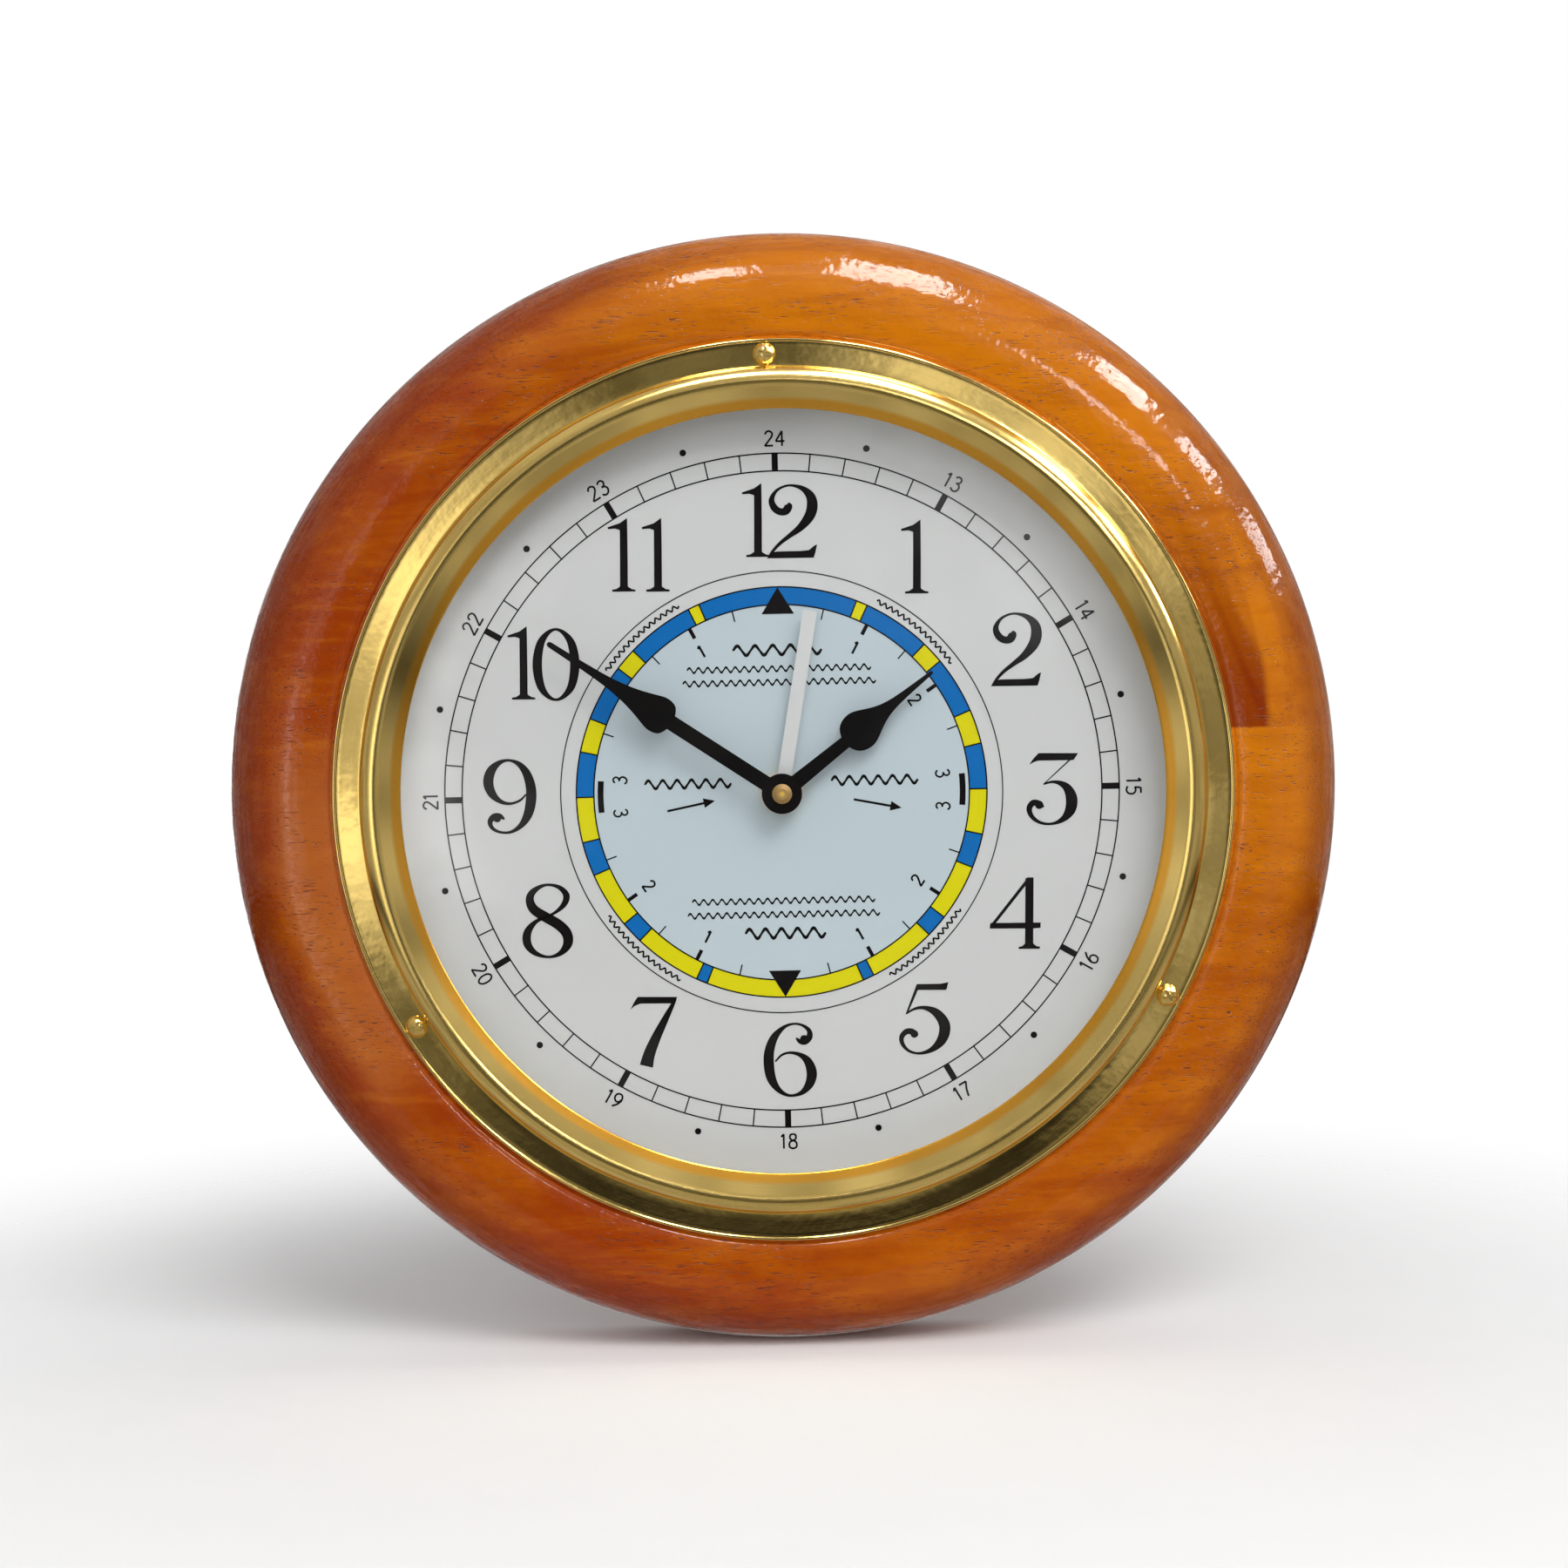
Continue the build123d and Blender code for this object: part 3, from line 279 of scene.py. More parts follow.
camera = bpy.data.objects.new("viewCamera", lensData)
camera.matrix_world = Matrix((
    (turnedRight.x, turnedUp.x, -ahead.x, eye.x),
    (turnedRight.y, turnedUp.y, -ahead.y, eye.y),
    (turnedRight.z, turnedUp.z, -ahead.z, eye.z),
    (0, 0, 0, 1),
))
bpy.context.scene.collection.objects.link(camera)
bpy.context.scene.camera = camera
print("camera set")


# floor, backdrop and lamps, in metres unless a note says mm

studio = {
    "floorDrop": 0.2,  # below the lowest point, mm
    "floorSize": 6.0,
    "floorFade": (140.0, 470.0),  # mm from the middle, where it gives way to the white
    "skyLight": 0.43,
    "windowPower": 90.0,  # for a square metre
    "windowAway": 1.2,
}

# soft boxes that aren't mirrored: clock angle, angle off the view, away, wide, tall, power
boxes = {"keyBox": (24, 52, 1.6, 1.1, 0.8, 15.5), "frontBox": (330, 20, 1.9, 1.2, 1.2, 8.0)}

# tall windows, seen only as reflections: clock angle, angle off the view, wide, tall, strength
windows = [
    (354.5, 57, 0.14, 0.30, 0.9), (15.5, 65, 0.24, 0.62, 0.9), (43, 21.5, 0.10, 0.12, 0.6),
    (43, 72, 0.15, 0.55, 1.0), (54.5, 25, 0.05, 0.16, 0.7), (54.5, 74, 0.10, 0.45, 0.9),
    (66, 88, 0.14, 0.5, 0.5),
]

bpy.context.scene.view_settings.view_transform = "Standard"

world = bpy.data.worlds.new("studioWorld")
bpy.context.scene.world = world
world.use_nodes = True
air = Paint("air", world.node_tree)
seen, glossy, through = (air.node("LightPath", output=number) for number in (0, 3, 6))
plainView = air.clamp(seen + glossy + through)
lit = air.node("Background", None, {"Color": (1, 1, 1, 1), "Strength": studio["skyLight"]})
shown = air.node("Background", None, {"Color": (1, 1, 1, 1), "Strength": 1.0})
air.node("OutputWorld", None, {"Surface": air.node("MixShader", None, {0: plainView, 1: lit, 2: shown})})


def floorPaint():
    paint = Paint("paleFloor")
    grain = paint.noise(paint.where(), 0.05, 3.0)
    shade = paint.blend(grain, tone(248, 248, 248), tone(251, 251, 251))
    matt = paint.node("BsdfDiffuse", None, {"Color": shade})
    x, y, z = paint.split(paint.where())
    fade = paint.smooth(paint.maths("SQRT", x * x + y * y), *studio["floorFade"])
    clear = paint.node("BsdfTransparent")
    return paint.close(paint.node("MixShader", None, {0: fade, 1: matt, 2: clear}))


half = studio["floorSize"] / 2
floorLevel = cadBox[0][2] - studio["floorDrop"] * mm
corners = [Vector((x * half, y * half, floorLevel)) for x, y in ((-1, -1), (1, -1), (1, 1), (-1, 1))]
floor = meshPiece("floor", corners, [(0, 1, 2, 3)], floorPaint())
floor.visible_glossy = False  # the room below is what brass and varnish mirror


def softBox(name, spot, width, height, power, diffuse=True, glossy=True):  # faces the clock
    lamp = bpy.data.lights.new(name, "AREA")
    lamp.shape = "RECTANGLE"
    lamp.size = width
    lamp.size_y = height
    lamp.energy = power
    box = bpy.data.objects.new(name, lamp)
    box.matrix_world = Matrix.Translation(spot) @ (-spot).to_track_quat("-Z", "Y").to_matrix().to_4x4()
    box.visible_camera = False
    box.visible_glossy = glossy
    box.visible_diffuse = diffuse
    bpy.context.scene.collection.objects.link(box)
    return box


def toward(turn, off, distance):  # clock angle round the view and angle away from it
    turn, off = math.radians(turn), math.radians(off)
    return Vector((math.sin(off) * math.sin(turn), -math.cos(off), math.sin(off) * math.cos(turn))) * distance


for name, (turn, off, away, wide, tall, power) in boxes.items():
    softBox(name, toward(turn, off, away), wide, tall, power, glossy=False)

for number, (turn, off, wide, tall, strength) in enumerate(windows):
    spot = toward(turn, off, studio["windowAway"])
    outward = (toward(turn, off + 1, studio["windowAway"]) - spot).normalized()
    power = studio["windowPower"] * wide * tall * strength
    box = softBox("window%d" % number, spot, wide, tall, power, diffuse=False)
    side = box.matrix_world.to_3x3().inverted() @ outward  # its long side points away from the view
    box.matrix_world = box.matrix_world @ Matrix.Rotation(math.atan2(side.y, side.x) - math.pi / 2, 4, "Z")

# the room that is mirrored. Its patches lie where x and z of the direction rise and fall:
# rise and fall along x, rise and fall along z, strength
room = {
    "radius": 2.4, "rows": 20, "columns": 32, "reach": 160.0, "base": 0.16,
    "left": ((-0.6, -0.42), (-0.05, -0.12), (-0.13, -0.06), (0.24, 0.08), 0.95),
    "strip": ((-0.55, -0.42), (-0.24, -0.36), (-0.34, -0.12), (0.16, -0.06), 1.45),
    "corner": ((0.02, 0.1), (0.32, 0.18), (0.01, 0.08), (0.32, 0.18), 0.5), "cornerEdge": (0.245, 0.21),
    "outside": (0.19, 0.3), "outsideGlow": 0.27, "top": (0.3, 0.6), "topGlow": 0.15,
    "lowerRise": (-0.36, -0.24), "lowerFall": (-0.185, -0.21), "lowerShade": 0.93,
    "camera": (0.165, 0.14), "cameraShade": 0.7,
}


def roomPaint():  # the dim room behind the camera
    paint = Paint("dimRoom")
    x, y, z = paint.split(paint.scaled(paint.where(), mm / room["radius"]))
    off = paint.maths("SQRT", x * x + z * z)
    blotch = paint.noise(paint.where(), 0.0016, 3.0)
    spots = paint.smooth(paint.noise(paint.where(), 0.0065, 3.0, 0.6), 0.42, 0.6)

    def patch(name):
        riseX, fallX, riseZ, fallZ, strength = room[name]
        return paint.between(x, riseX, fallX) * paint.between(z, riseZ, fallZ) * strength

    level = patch("left") + patch("strip") + patch("corner") * paint.smooth(off, *room["cornerEdge"])
    level = level + paint.smooth(off, *room["outside"]) * room["outsideGlow"]
    level = level + paint.smooth(z, *room["top"]) * room["topGlow"] + room["base"]
    lower = paint.between(z, room["lowerRise"], room["lowerFall"]) * room["lowerShade"]
    shadow = paint.smooth(off, *room["camera"]) * (y < 0.0) * room["cameraShade"]
    level = level * (blotch * 0.8 + 0.6) * (spots * 1.25 + 0.45) * (1.0 - lower) * (1.0 - shadow)
    colour = paint.blend(blotch, tone(255, 244, 226), tone(238, 244, 255))
    return paint.close(paint.node("Emission", None, {"Color": colour, "Strength": level}))


def roomShell():
    rows, columns = room["rows"], room["columns"]
    points = [toward(0, 0, room["radius"])]
    faces = []
    for row in range(1, rows + 1):
        for column in range(columns):
            points.append(toward(360 * column / columns, room["reach"] * row / rows, room["radius"]))
    for column in range(columns):
        following = (column + 1) % columns
        faces.append((0, 1 + column, 1 + following))
        for row in range(rows - 1):
            a, b = 1 + row * columns, 1 + (row + 1) * columns
            faces.append((a + column, b + column, b + following, a + following))
    shell = meshPiece("dimRoom", points, faces, roomPaint())
    for ray in ("camera", "diffuse", "transmission", "shadow"):
        setattr(shell, "visible_" + ray, False)


roomShell()
print("studio set")


# varnished wood ring: radii and heights from the wall, in mm

wood = {
    "turns": 360, "opening": 108.0, "ledge": 24.0, "rebate": 125.0, "seat": 36.0, "seatEdge": 136.6,
    "chamfer": 0.75, "fallWide": 10.6, "fallDeep": 1.3, "fallEnd": 10.4, "crown": 148.0, "top": 38.2,
    "crownRound": 22.0, "backRound": 4.0, "bevel": 0.4,
}

# the colours and where each begins and ends
grain = {
    "golden": (206, 117, 5), "russet": (148, 56, 4), "streak": (132, 46, 4), "glow": (206, 120, 12),
    # the pale tone after rim, and the four ranges that place it further down, are a painted sheen: a
    # reflection painted on the left shoulder
    "rim": (118, 40, 5), "leftSheen": (182, 106, 48), "pore": (74, 26, 6),
    # the first range below fades the wood from painted shade at the bottom to full tone at the top
    "high": (-150.0, 80.0), "warm": (-92.0, 32.0), "jointHeight": 17.0, "jointSoft": 0.5,
    "archRadius": 149.5, "archHeight": 55.0, "swirlEdge": (142.5, 139.5), "swirlFade": (20.0, 84.0),
    "block": (104.0, 66.0), "underJoint": (-50.0, 0.0), "crownZ": (70.0, 140.0), "crownX": (-60.0, -10.0),
    "rimEdge": (153.5, 162.5), "sheenX": (-104.0, -126.0), "sheenTop": (34.0, -8.0),
    "sheenFoot": (-104.0, -74.0), "sheenEdge": (157.0, 149.0),
}


def woodPaint():
    paint = Paint("varnishedWood")
    x, y, z, radius = paint.axes()
    bend = paint.noise(paint.join(x * 0.007, y * 0.012, z * 0.012), 1.0, 2.0)
    cloud = paint.noise(paint.join(x * 0.014, y * 0.03, z * 0.03), 1.0, 3.0, 0.55)
    mottle = paint.noise(paint.join(x * 0.05, y * 0.09, z * 0.09), 1.0, 4.0, 0.65)
    fibre = paint.join(x * 0.02 + bend * 2.0, y * 0.2, z * 0.2 + bend * 7.0)
    streak = paint.noise(fibre, 1.0, 5.0, 0.6, 0.3)

    # golden to the upper right, russet to the left and below: partly the wood's own tone, partly painted
    # shade that darkens it towards the bottom
    high = paint.smooth(z, *grain["high"])
    warmth = paint.smooth(x + z * 0.12, *grain["warm"]) * (high * 0.68 + 0.32)
    warmth = paint.clamp(warmth + (cloud - 0.5) * 0.7 + (mottle - 0.5) * 0.8)
    colour = paint.blend(warmth, tone(*grain["russet"]), tone(*grain["golden"]))
    colour = paint.blend(paint.smooth(streak, 0.42, 0.72) * 0.34, colour, tone(*grain["streak"]))
    colour = paint.blend(paint.smooth(streak, 0.52, 0.24) * 0.25, colour, tone(*grain["glow"]))

    # the glued joint at the right, with the swirl that ends at it
    height, soft = grain["jointHeight"], grain["jointSoft"]
    joint = paint.smooth(z, height - soft, height + soft) * (x > 0.0)
    across = (radius - grain["archRadius"]) * 0.25
    along = (z - grain["archHeight"]) * 0.055
    arch = paint.maths("SQRT", across * across + along * along)
    swirl = paint.smooth(radius - z * 0.12 - bend * 6.0, *grain["swirlEdge"])
    swirl = swirl - paint.smooth(arch, 1.2, 0.5) * 0.6
    swirl = paint.clamp(swirl) * (0.85 - paint.smooth(z, *grain["swirlFade"]) * 0.55)
    swirl = swirl + paint.smooth(paint.maths("ABSOLUTE", arch - 2.0), 0.45, 0.0) * 0.12
    block = joint * paint.smooth(z, *grain["block"])
    colour = paint.blend(block * (swirl + 0.06), colour, tone(*grain["streak"]))
    under = (1.0 - joint) * (x > 0.0) * paint.smooth(z, *grain["underJoint"])
    colour = paint.blend(under * 0.35, colour, tone(*grain["glow"]))

    # a darker rim, a painted sheen at the left, which stands for a reflection of the bright room, and the
    # pores
    crown = paint.smooth(z, *grain["crownZ"]) * paint.smooth(x, *grain["crownX"])
    rim = paint.smooth(radius, *grain["rimEdge"]) * (1.0 - crown * 0.7)
    colour = paint.blend(rim * 0.5, colour, tone(*grain["rim"]))
    # painted highlight: a pale sheen on the left shoulder, where the room's bright side is mirrored
    leftSheen = paint.smooth(x, *grain["sheenX"]) * paint.between(z, grain["sheenTop"], grain["sheenFoot"])
    leftSheen = leftSheen * paint.smooth(radius, *grain["sheenEdge"])
    colour = paint.blend(leftSheen * (mottle * 0.5 + 0.3), colour, tone(*grain["leftSheen"]))
    fleck = paint.noise(paint.join(x * 0.22, y * 2.4, z * 2.6), 1.0, 1.0, 0.5)
    crowd = paint.noise(paint.join(x * 0.02, y * 0.05, z * 0.05), 1.0, 2.0)
    pores = paint.smooth(fleck, 0.62, 0.7) * paint.smooth(crowd, 0.36, 0.56)
    colour = paint.blend(pores * 0.72, colour, tone(*grain["pore"]))
    peel = paint.noise(paint.where(), 0.42, 1.0, 0.4)
    return paint.finish({
        "Base Color": colour,
        "Roughness": pores * 0.2 + 0.09,
        "Specular IOR Level": 0.27,
        "Normal": paint.bump(peel + pores * -0.5 + mottle * 0.8, 1.0, 0.0001),
    })


def woodProfile():
    opening, ledge, rebate, seat = wood["opening"], wood["ledge"], wood["rebate"], wood["seat"]
    bevel, edge, crown, top = wood["bevel"], wood["seatEdge"], wood["crown"], wood["top"]
    shoulder, outer = top - wood["crownRound"], crown + wood["crownRound"]
    outline = stretch((opening, bevel), (opening, ledge), 6)
    outline += stretch((opening, ledge), (rebate, ledge), 4)
    outline += stretch((rebate, ledge), (rebate, seat), 3)
    outline += stretch((rebate, seat), (edge, seat), 6)
    outline += stretch((edge, seat), (edge + wood["chamfer"], seat + wood["chamfer"]), 3)
    fall = (wood["fallWide"] ** 2 + wood["fallDeep"] ** 2) / (2 * wood["fallDeep"])
    reach = math.degrees(math.asin(wood["fallEnd"] / fall))
    outline += arc((crown, top - fall), fall, 90 + reach, 90, 8)[:-1]
    outline += arc((crown, shoulder), wood["crownRound"], 90, 0, 40)[:-1]
    outline += stretch((outer, shoulder), (outer, wood["backRound"]), 5)
    outline += arc((outer - wood["backRound"], wood["backRound"]), wood["backRound"], 0, -90, 8)
    outline += stretch((outer - wood["backRound"] - 0.5, 0), (opening + bevel, 0), 12)
    return outline + [(opening + bevel, 0)]


# seat and pocket of the keyhole plate, cut into the back
hanger = {
    "middle": 139.0, "width": 20.1, "height": 44.1, "corner": 3.05, "depth": 1.5,
    "pocketWidth": 12.0, "pocketLow": 128.0, "pocketHigh": 149.0, "pocketDeep": 9.0, "overrun": 1.0,
}


def roundedBox(width, height, corner, middle, steps=8):
    outline = []
    for quarter, (side, lift) in enumerate(((1, 1), (-1, 1), (-1, -1), (1, -1))):
        spot = (side * (width / 2 - corner), middle + lift * (height / 2 - corner))
        outline += arc(spot, corner, 90 * quarter, 90 * quarter + 90, steps)
    return outline


varnish = woodPaint()
woodRing = turned("woodRing", woodProfile(), wood["turns"], varnish, sharp=40)
seat = roundedBox(hanger["width"], hanger["height"], hanger["corner"], hanger["middle"])
pocketTall = hanger["pocketHigh"] - hanger["pocketLow"]
pocketMiddle = hanger["pocketLow"] + pocketTall / 2
pocket = roundedBox(hanger["pocketWidth"], pocketTall, hanger["pocketWidth"] / 2 - 0.001, pocketMiddle, 14)
carve(woodRing, [
    prism("seatCutter", seat, -hanger["overrun"], hanger["depth"], varnish),
    prism("pocketCutter", pocket, hanger["depth"] - hanger["overrun"], hanger["pocketDeep"], varnish),
], 40)
belongs(woodRing, "case", "varnished_wood", "wood_case")
print("wood ring turned")


# brass bezel: radii and heights from the wall, in mm

brass = {
    "turns": 360, "opening": 114.9, "lip": 37.6, "inner": 125.0, "seat": 36.0, "outer": 135.8,
    "flange": 37.1, "bevel": 0.1, "bead": 0.45, "beadSink": 0.15, "rollMiddle": 123.2, "roll": 4.4,
    "coneStart": 114, "coneFoot": (115.2, 38.36), "edgeTop": 36.9, "beadStep": 0.6, "beadRun": 1.15,
    "flangeStart": 1.4, "rollGap": 0.3, "lipEdge": 38.05, "lipRun": 0.5, "seatRun": 1.0,
}

# tones of the metal and the radii where its finish changes
shine = {
    "tones": ((232, 198, 110), (240, 210, 130)), "innerTone": (232, 164, 46),
    "rollEdge": (128.2, 127.2), "coneEdge": (122.0, 121.0), "innerToneEdge": (118.6, 117.0),
}


def brassPaint(name="polishedBrass", spun=True):
    paint = Paint(name)
    x, y, z, radius = paint.axes()
    haze = paint.noise(paint.where(), 0.06, 3.0)
    colour = paint.blend(haze, *(tone(*shade) for shade in shine["tones"]))
    if spun:  # turned lines on the roll, a smoother flange, a deeper, yellower tone down the inner slope
        roll = paint.smooth(radius, *shine["rollEdge"])
        inner = paint.smooth(radius, *shine["innerToneEdge"])
        cone = paint.smooth(radius, *shine["coneEdge"])
        lines = paint.noise(paint.join(radius * 1.3, 0.0, 0.0), 1.0, 5.0, 0.75)
        shimmer = paint.noise(paint.where(), 0.09, 3.0, 0.6)
        colour = paint.blend(inner * 0.85, colour, tone(*shine["innerTone"]))
        height = lines * (roll * 0.9 + 0.1) * (1.0 - cone * 0.93) + shimmer * (1.0 - roll) * 0.9
        rough = roll * 0.05 + inner * 0.06 + haze * 0.06 + 0.06
        normal = paint.bump(height, 1.0, 0.00006)
    else:
        rough = haze * 0.1 + 0.16
        normal = paint.bump(paint.noise(paint.where(), 1.3, 3.0), 0.1, 0.0002)
    return paint.finish({"Base Color": colour, "Metallic": 1.0, "Roughness": rough, "Normal": normal})


def bezelProfile():
    opening, inner, outer, bevel = brass["opening"], brass["inner"], brass["outer"], brass["bevel"]
    lip, seat, flange, bead = brass["lip"], brass["seat"], brass["flange"], brass["bead"]
    roll, rollEdge = (brass["rollMiddle"], flange), brass["rollMiddle"] + brass["roll"]
    beadFoot = flange - brass["beadSink"]
    outline = [(opening, brass["lipEdge"]), (opening + bevel / 2, lip + bevel), (opening + bevel * 2, lip)]
    outline += stretch((opening + brass["lipRun"], lip), (inner - bevel, lip), 3)
    outline += [(inner, lip - bevel), (inner, seat + bevel), (inner + bevel, seat)]
    outline += stretch((inner + brass["seatRun"], seat), (outer - bevel, seat), 3)
    outline += [(outer, seat + bevel), (outer, brass["edgeTop"])]
    outline += arc((outer - bead, beadFoot), bead, 0, 90, 6)  # a fine bead round the rim
    outline += arc((outer - brass["beadStep"], beadFoot), bead, 90, 150, 4)[1:]
    outline += [(outer - brass["beadRun"], flange + bevel / 5)]
    outline += stretch((outer - brass["flangeStart"], flange), (rollEdge + brass["rollGap"], flange), 6)
    outline += [(rollEdge + bevel * 1.2, flange + bevel * 0.3), (rollEdge, flange + bevel * 2)]
    outline += arc(roll, brass["roll"], 4, 90, 20)
    outline += arc(roll, brass["roll"], 90, brass["coneStart"], 10)[1:]  # the crest, then a cone inwards
    outline += stretch(outline[-1], brass["coneFoot"], 12)[1:]
    return outline + [brass["coneFoot"], (opening + bevel, brass["coneFoot"][1] - bevel * 1.1)]


bezel = turned("bezelRing", bezelProfile(), brass["turns"], brassPaint(), sharp=40)
belongs(bezel, "case", "polished_brass", "brass_bezel")
print("bezel turned")


# round head screws of the bezel and flat ones of the keyhole plate, with a cross recess

screw = {
    "circle": 131.175, "turn": -1.2, "head": 3.4, "rise": 2.3, "seat": 37.1, "shank": 1.7, "tip": 19.1,
    "recess": 2.0, "recessWidth": 0.9, "recessDepth": 1.3, "overrun": 1.0, "spins": (12.0, 63.0, 28.0),
}
hangerScrew = {
    "places": ((121.5, 20.0), (156.5, 55.0)), "head": 2.55, "edge": 0.12, "sink": 1.5, "neck": 1.6,
    "shank": 1.2, "tip": 12.0, "recess": 1.5, "recessWidth": 0.7, "recessDepth": 0.8,
    "overrun": 1.0,
}
thread = {"turns": 48, "pitch": 1.1, "plain": 2.0, "end": 3.5, "play": 0.02, "root": 0.35, "point": 2.5,
          "pointWidth": 0.4}


def threaded(shank, start, end):  # a ridged shank from the head to the tip
    way = 1 if end > start else -1
    crest, root, pitch = shank - thread["play"], shank - thread["root"], thread["pitch"]
    outline = [(shank, start)]
    height = start + thread["plain"] * way
    while (end - height) * way > thread["end"]:
        outline += [(crest, height), (root, height + pitch * 0.45 * way), (crest, height + pitch * 0.9 * way)]
        height += pitch * way
    return outline + [(shank - thread["pointWidth"], end - thread["point"] * way), (0, end)]


def crossScrew(name, middle, outline, floor, top, sizes, spin, material):
    made = turned(name, outline, thread["turns"], material, middle, 40, False)
    reach, wide = sizes["recess"], sizes["recessWidth"] / 2
    plus = []
    for quarter in range(4):  # one arm of the cross and the corner before the next
        for corner in ((-wide, reach), (wide, reach), (wide, wide)):
            u, w = turnedBy(corner, spin + 90 * quarter)
            plus.append((middle[0] + u, middle[1] + w))
    carve(made, [prism("crossCutter", plus, floor, top, material)], 30)
    return made


screwBrass = brassPaint("screwBrass", False)
curve = (screw["head"] ** 2 + screw["rise"] ** 2) / (2 * screw["rise"])
top = screw["seat"] + screw["rise"]
dome = arc((0, top - curve), curve, 90, 90 - math.degrees(math.asin(screw["head"] / curve)), 10)
dome[0] = (0, top)
for number, spin in enumerate(screw["spins"]):
    middle = turnedBy((0, screw["circle"]), screw["turn"] + 120 * number)
    outline = dome + threaded(screw["shank"], screw["seat"], screw["tip"])
    name = "bezelScrew%d" % number
    floor, over = top - screw["recessDepth"], top + screw["overrun"]
    made = crossScrew(name, middle, outline, floor, over, screw, spin, screwBrass)
    belongs(made, "case", "polished_brass", "bezel_screws")
print("screws set")


# dial print, raised a few hundredths over the plate: radii and places in mm

dial = {
    "face": 25.0,  # front of the dial plate
    "thin": 0.42, "hourBar": 1.9, "numeralScale": 0.266, "numeralLean": 1.302, "numeralSquare": 96,
    "trackOut": 103.0, "trackIn": 97.7, "numberRing": 107.4, "numberTall": 4.5, "numberLine": 0.58,
    "dot": 1.0, "circle": 67.5, "circleLine": 0.34, "bandOut": 62.7, "bandIn": 57.35, "bandEdge": 0.44,
    "middleHole": 6.6,
    "tideNumbers": 49.5, "tideTall": 3.9, "tideStep": 14.05, "hourTick": 1.15, "tickFoot": 54.0,
    "tideLines": {"1": 0.7, "2": 0.6, "3": 0.56}, "threeTurn": 84.2, "threeTall": 4.1,
    "halfBar": (54.4, 56.2), "halfSpan": 5,
    "pointer": {"tip": 62.6, "foot": 54.5, "half": 4.95},
    "yellowStep": 22.5, "blueStep": 180 / 7,  # degrees between the starts of the yellow and the blue parts
    "wave": 0.52, "waveCrest": 1.25, "waveSlope": 0.8,  # line, and its share at the crests and on the slopes
    "ringWave": {"radius": 65.1, "count": 14, "swing": 0.62},
}

# the small numbers, in shares of their height: from one to the next, the same beside a 1, one sign's width
spacing = {"step": 0.74, "besideOne": 0.62, "sign": 0.56}

# heights over the plate, stepped so that prints that cross don't lie in one plane
ink = {
    "under": -0.02, "face": 0.030, "band": 0.050, "bar": 0.072, "tick": 0.076, "line": 0.080, "short": 0.084,
    "corner": 0.084, "cornerStep": 0.003, "arrow": 0.092, "ball": 0.094, "pointer": 0.096,
}


class Ink:
    def __init__(self):
        self.points = []
        self.faces = []

    def strip(self, left, right, top, ring=False):  # a closed thin ribbon between two edges
        start, count = len(self.points), len(left)
        for (x, z), (u, w) in zip(left, right):
            for height in (dial["face"] + ink["under"], dial["face"] + top):
                self.points += [place(x, height, z), place(u, height, w)]
        for k in range(count if ring else count - 1):
            a, b = start + 4 * k, start + 4 * ((k + 1) % count)
            self.faces += [(a, a + 1, b + 1, b), (a + 2, b + 2, b + 3, a + 3)]
            self.faces += [(a, b, b + 2, a + 2), (a + 1, a + 3, b + 3, b + 1)]
        if not ring:
            end = start + 4 * (count - 1)
            self.faces += [(start, start + 2, start + 3, start + 1), (end, end + 1, end + 3, end + 2)]

    def patch(self, outline, top):
        start, count = len(self.points), len(outline)
        for height in (dial["face"] + ink["under"], dial["face"] + top):
            self.points += [place(x, height, z) for x, z in outline]
        self.faces += [tuple(range(start, start + count)), tuple(range(start + count, start + 2 * count))]
        for k in range(count):
            step = (k + 1) % count
            self.faces.append((start + k, start + step, start + count + step, start + count + k))

    def sector(self, inner, outer, first, last, top, steps=0):  # degrees clockwise from twelve
        steps = steps or max(2, int(abs(last - first) / 1.5) + 1)  # a step is 1.5 degrees at most
        whole = last - first >= 360
        turns = [first + (last - first) * k / steps for k in range(steps if whole else steps + 1)]
        outside = [around(outer, turn) for turn in turns]
        self.strip(outside, [around(inner, turn) for turn in turns], top, whole)

    def circle(self, radius, width):
        self.sector(radius - width / 2, radius + width / 2, 0, 360, ink["line"], 240)

    def spot(self, middle, radius, top, steps=24):
        self.patch(arc(middle, radius, 0, 360, steps)[:-1], top)

    def line(self, first, last, width, top):
        dx, dz = last[0] - first[0], last[1] - first[1]
        length = math.hypot(dx, dz)
        nx, nz = -dz / length * width / 2, dx / length * width / 2
        left = [(first[0] + nx, first[1] + nz), (last[0] + nx, last[1] + nz)]
        self.strip(left, [(first[0] - nx, first[1] - nz), (last[0] - nx, last[1] - nz)], top)

    def brush(self, marks, ring=False, steps=7):  # a smooth stroke through (x, z, width) marks
        line = smoothLine(marks, ring, steps)
        count = len(line)
        left, right = [], []
        for k, (x, z, width) in enumerate(line):
            before = line[k - 1] if k or ring else line[k]
            after = line[(k + 1) % count] if k < count - 1 or ring else line[k]
            dx, dz = after[0] - before[0], after[1] - before[1]
            length = math.hypot(dx, dz) or 1
            left.append((x - dz / length * width / 2, z + dx / length * width / 2))
            right.append((x + dz / length * width / 2, z - dx / length * width / 2))
        self.strip(left, right, ink["line"], ring)

    def piece(self, name, material):
        made = meshPiece(name, self.points, self.faces, material, 30)
        return belongs(made, "case", "black_paint")


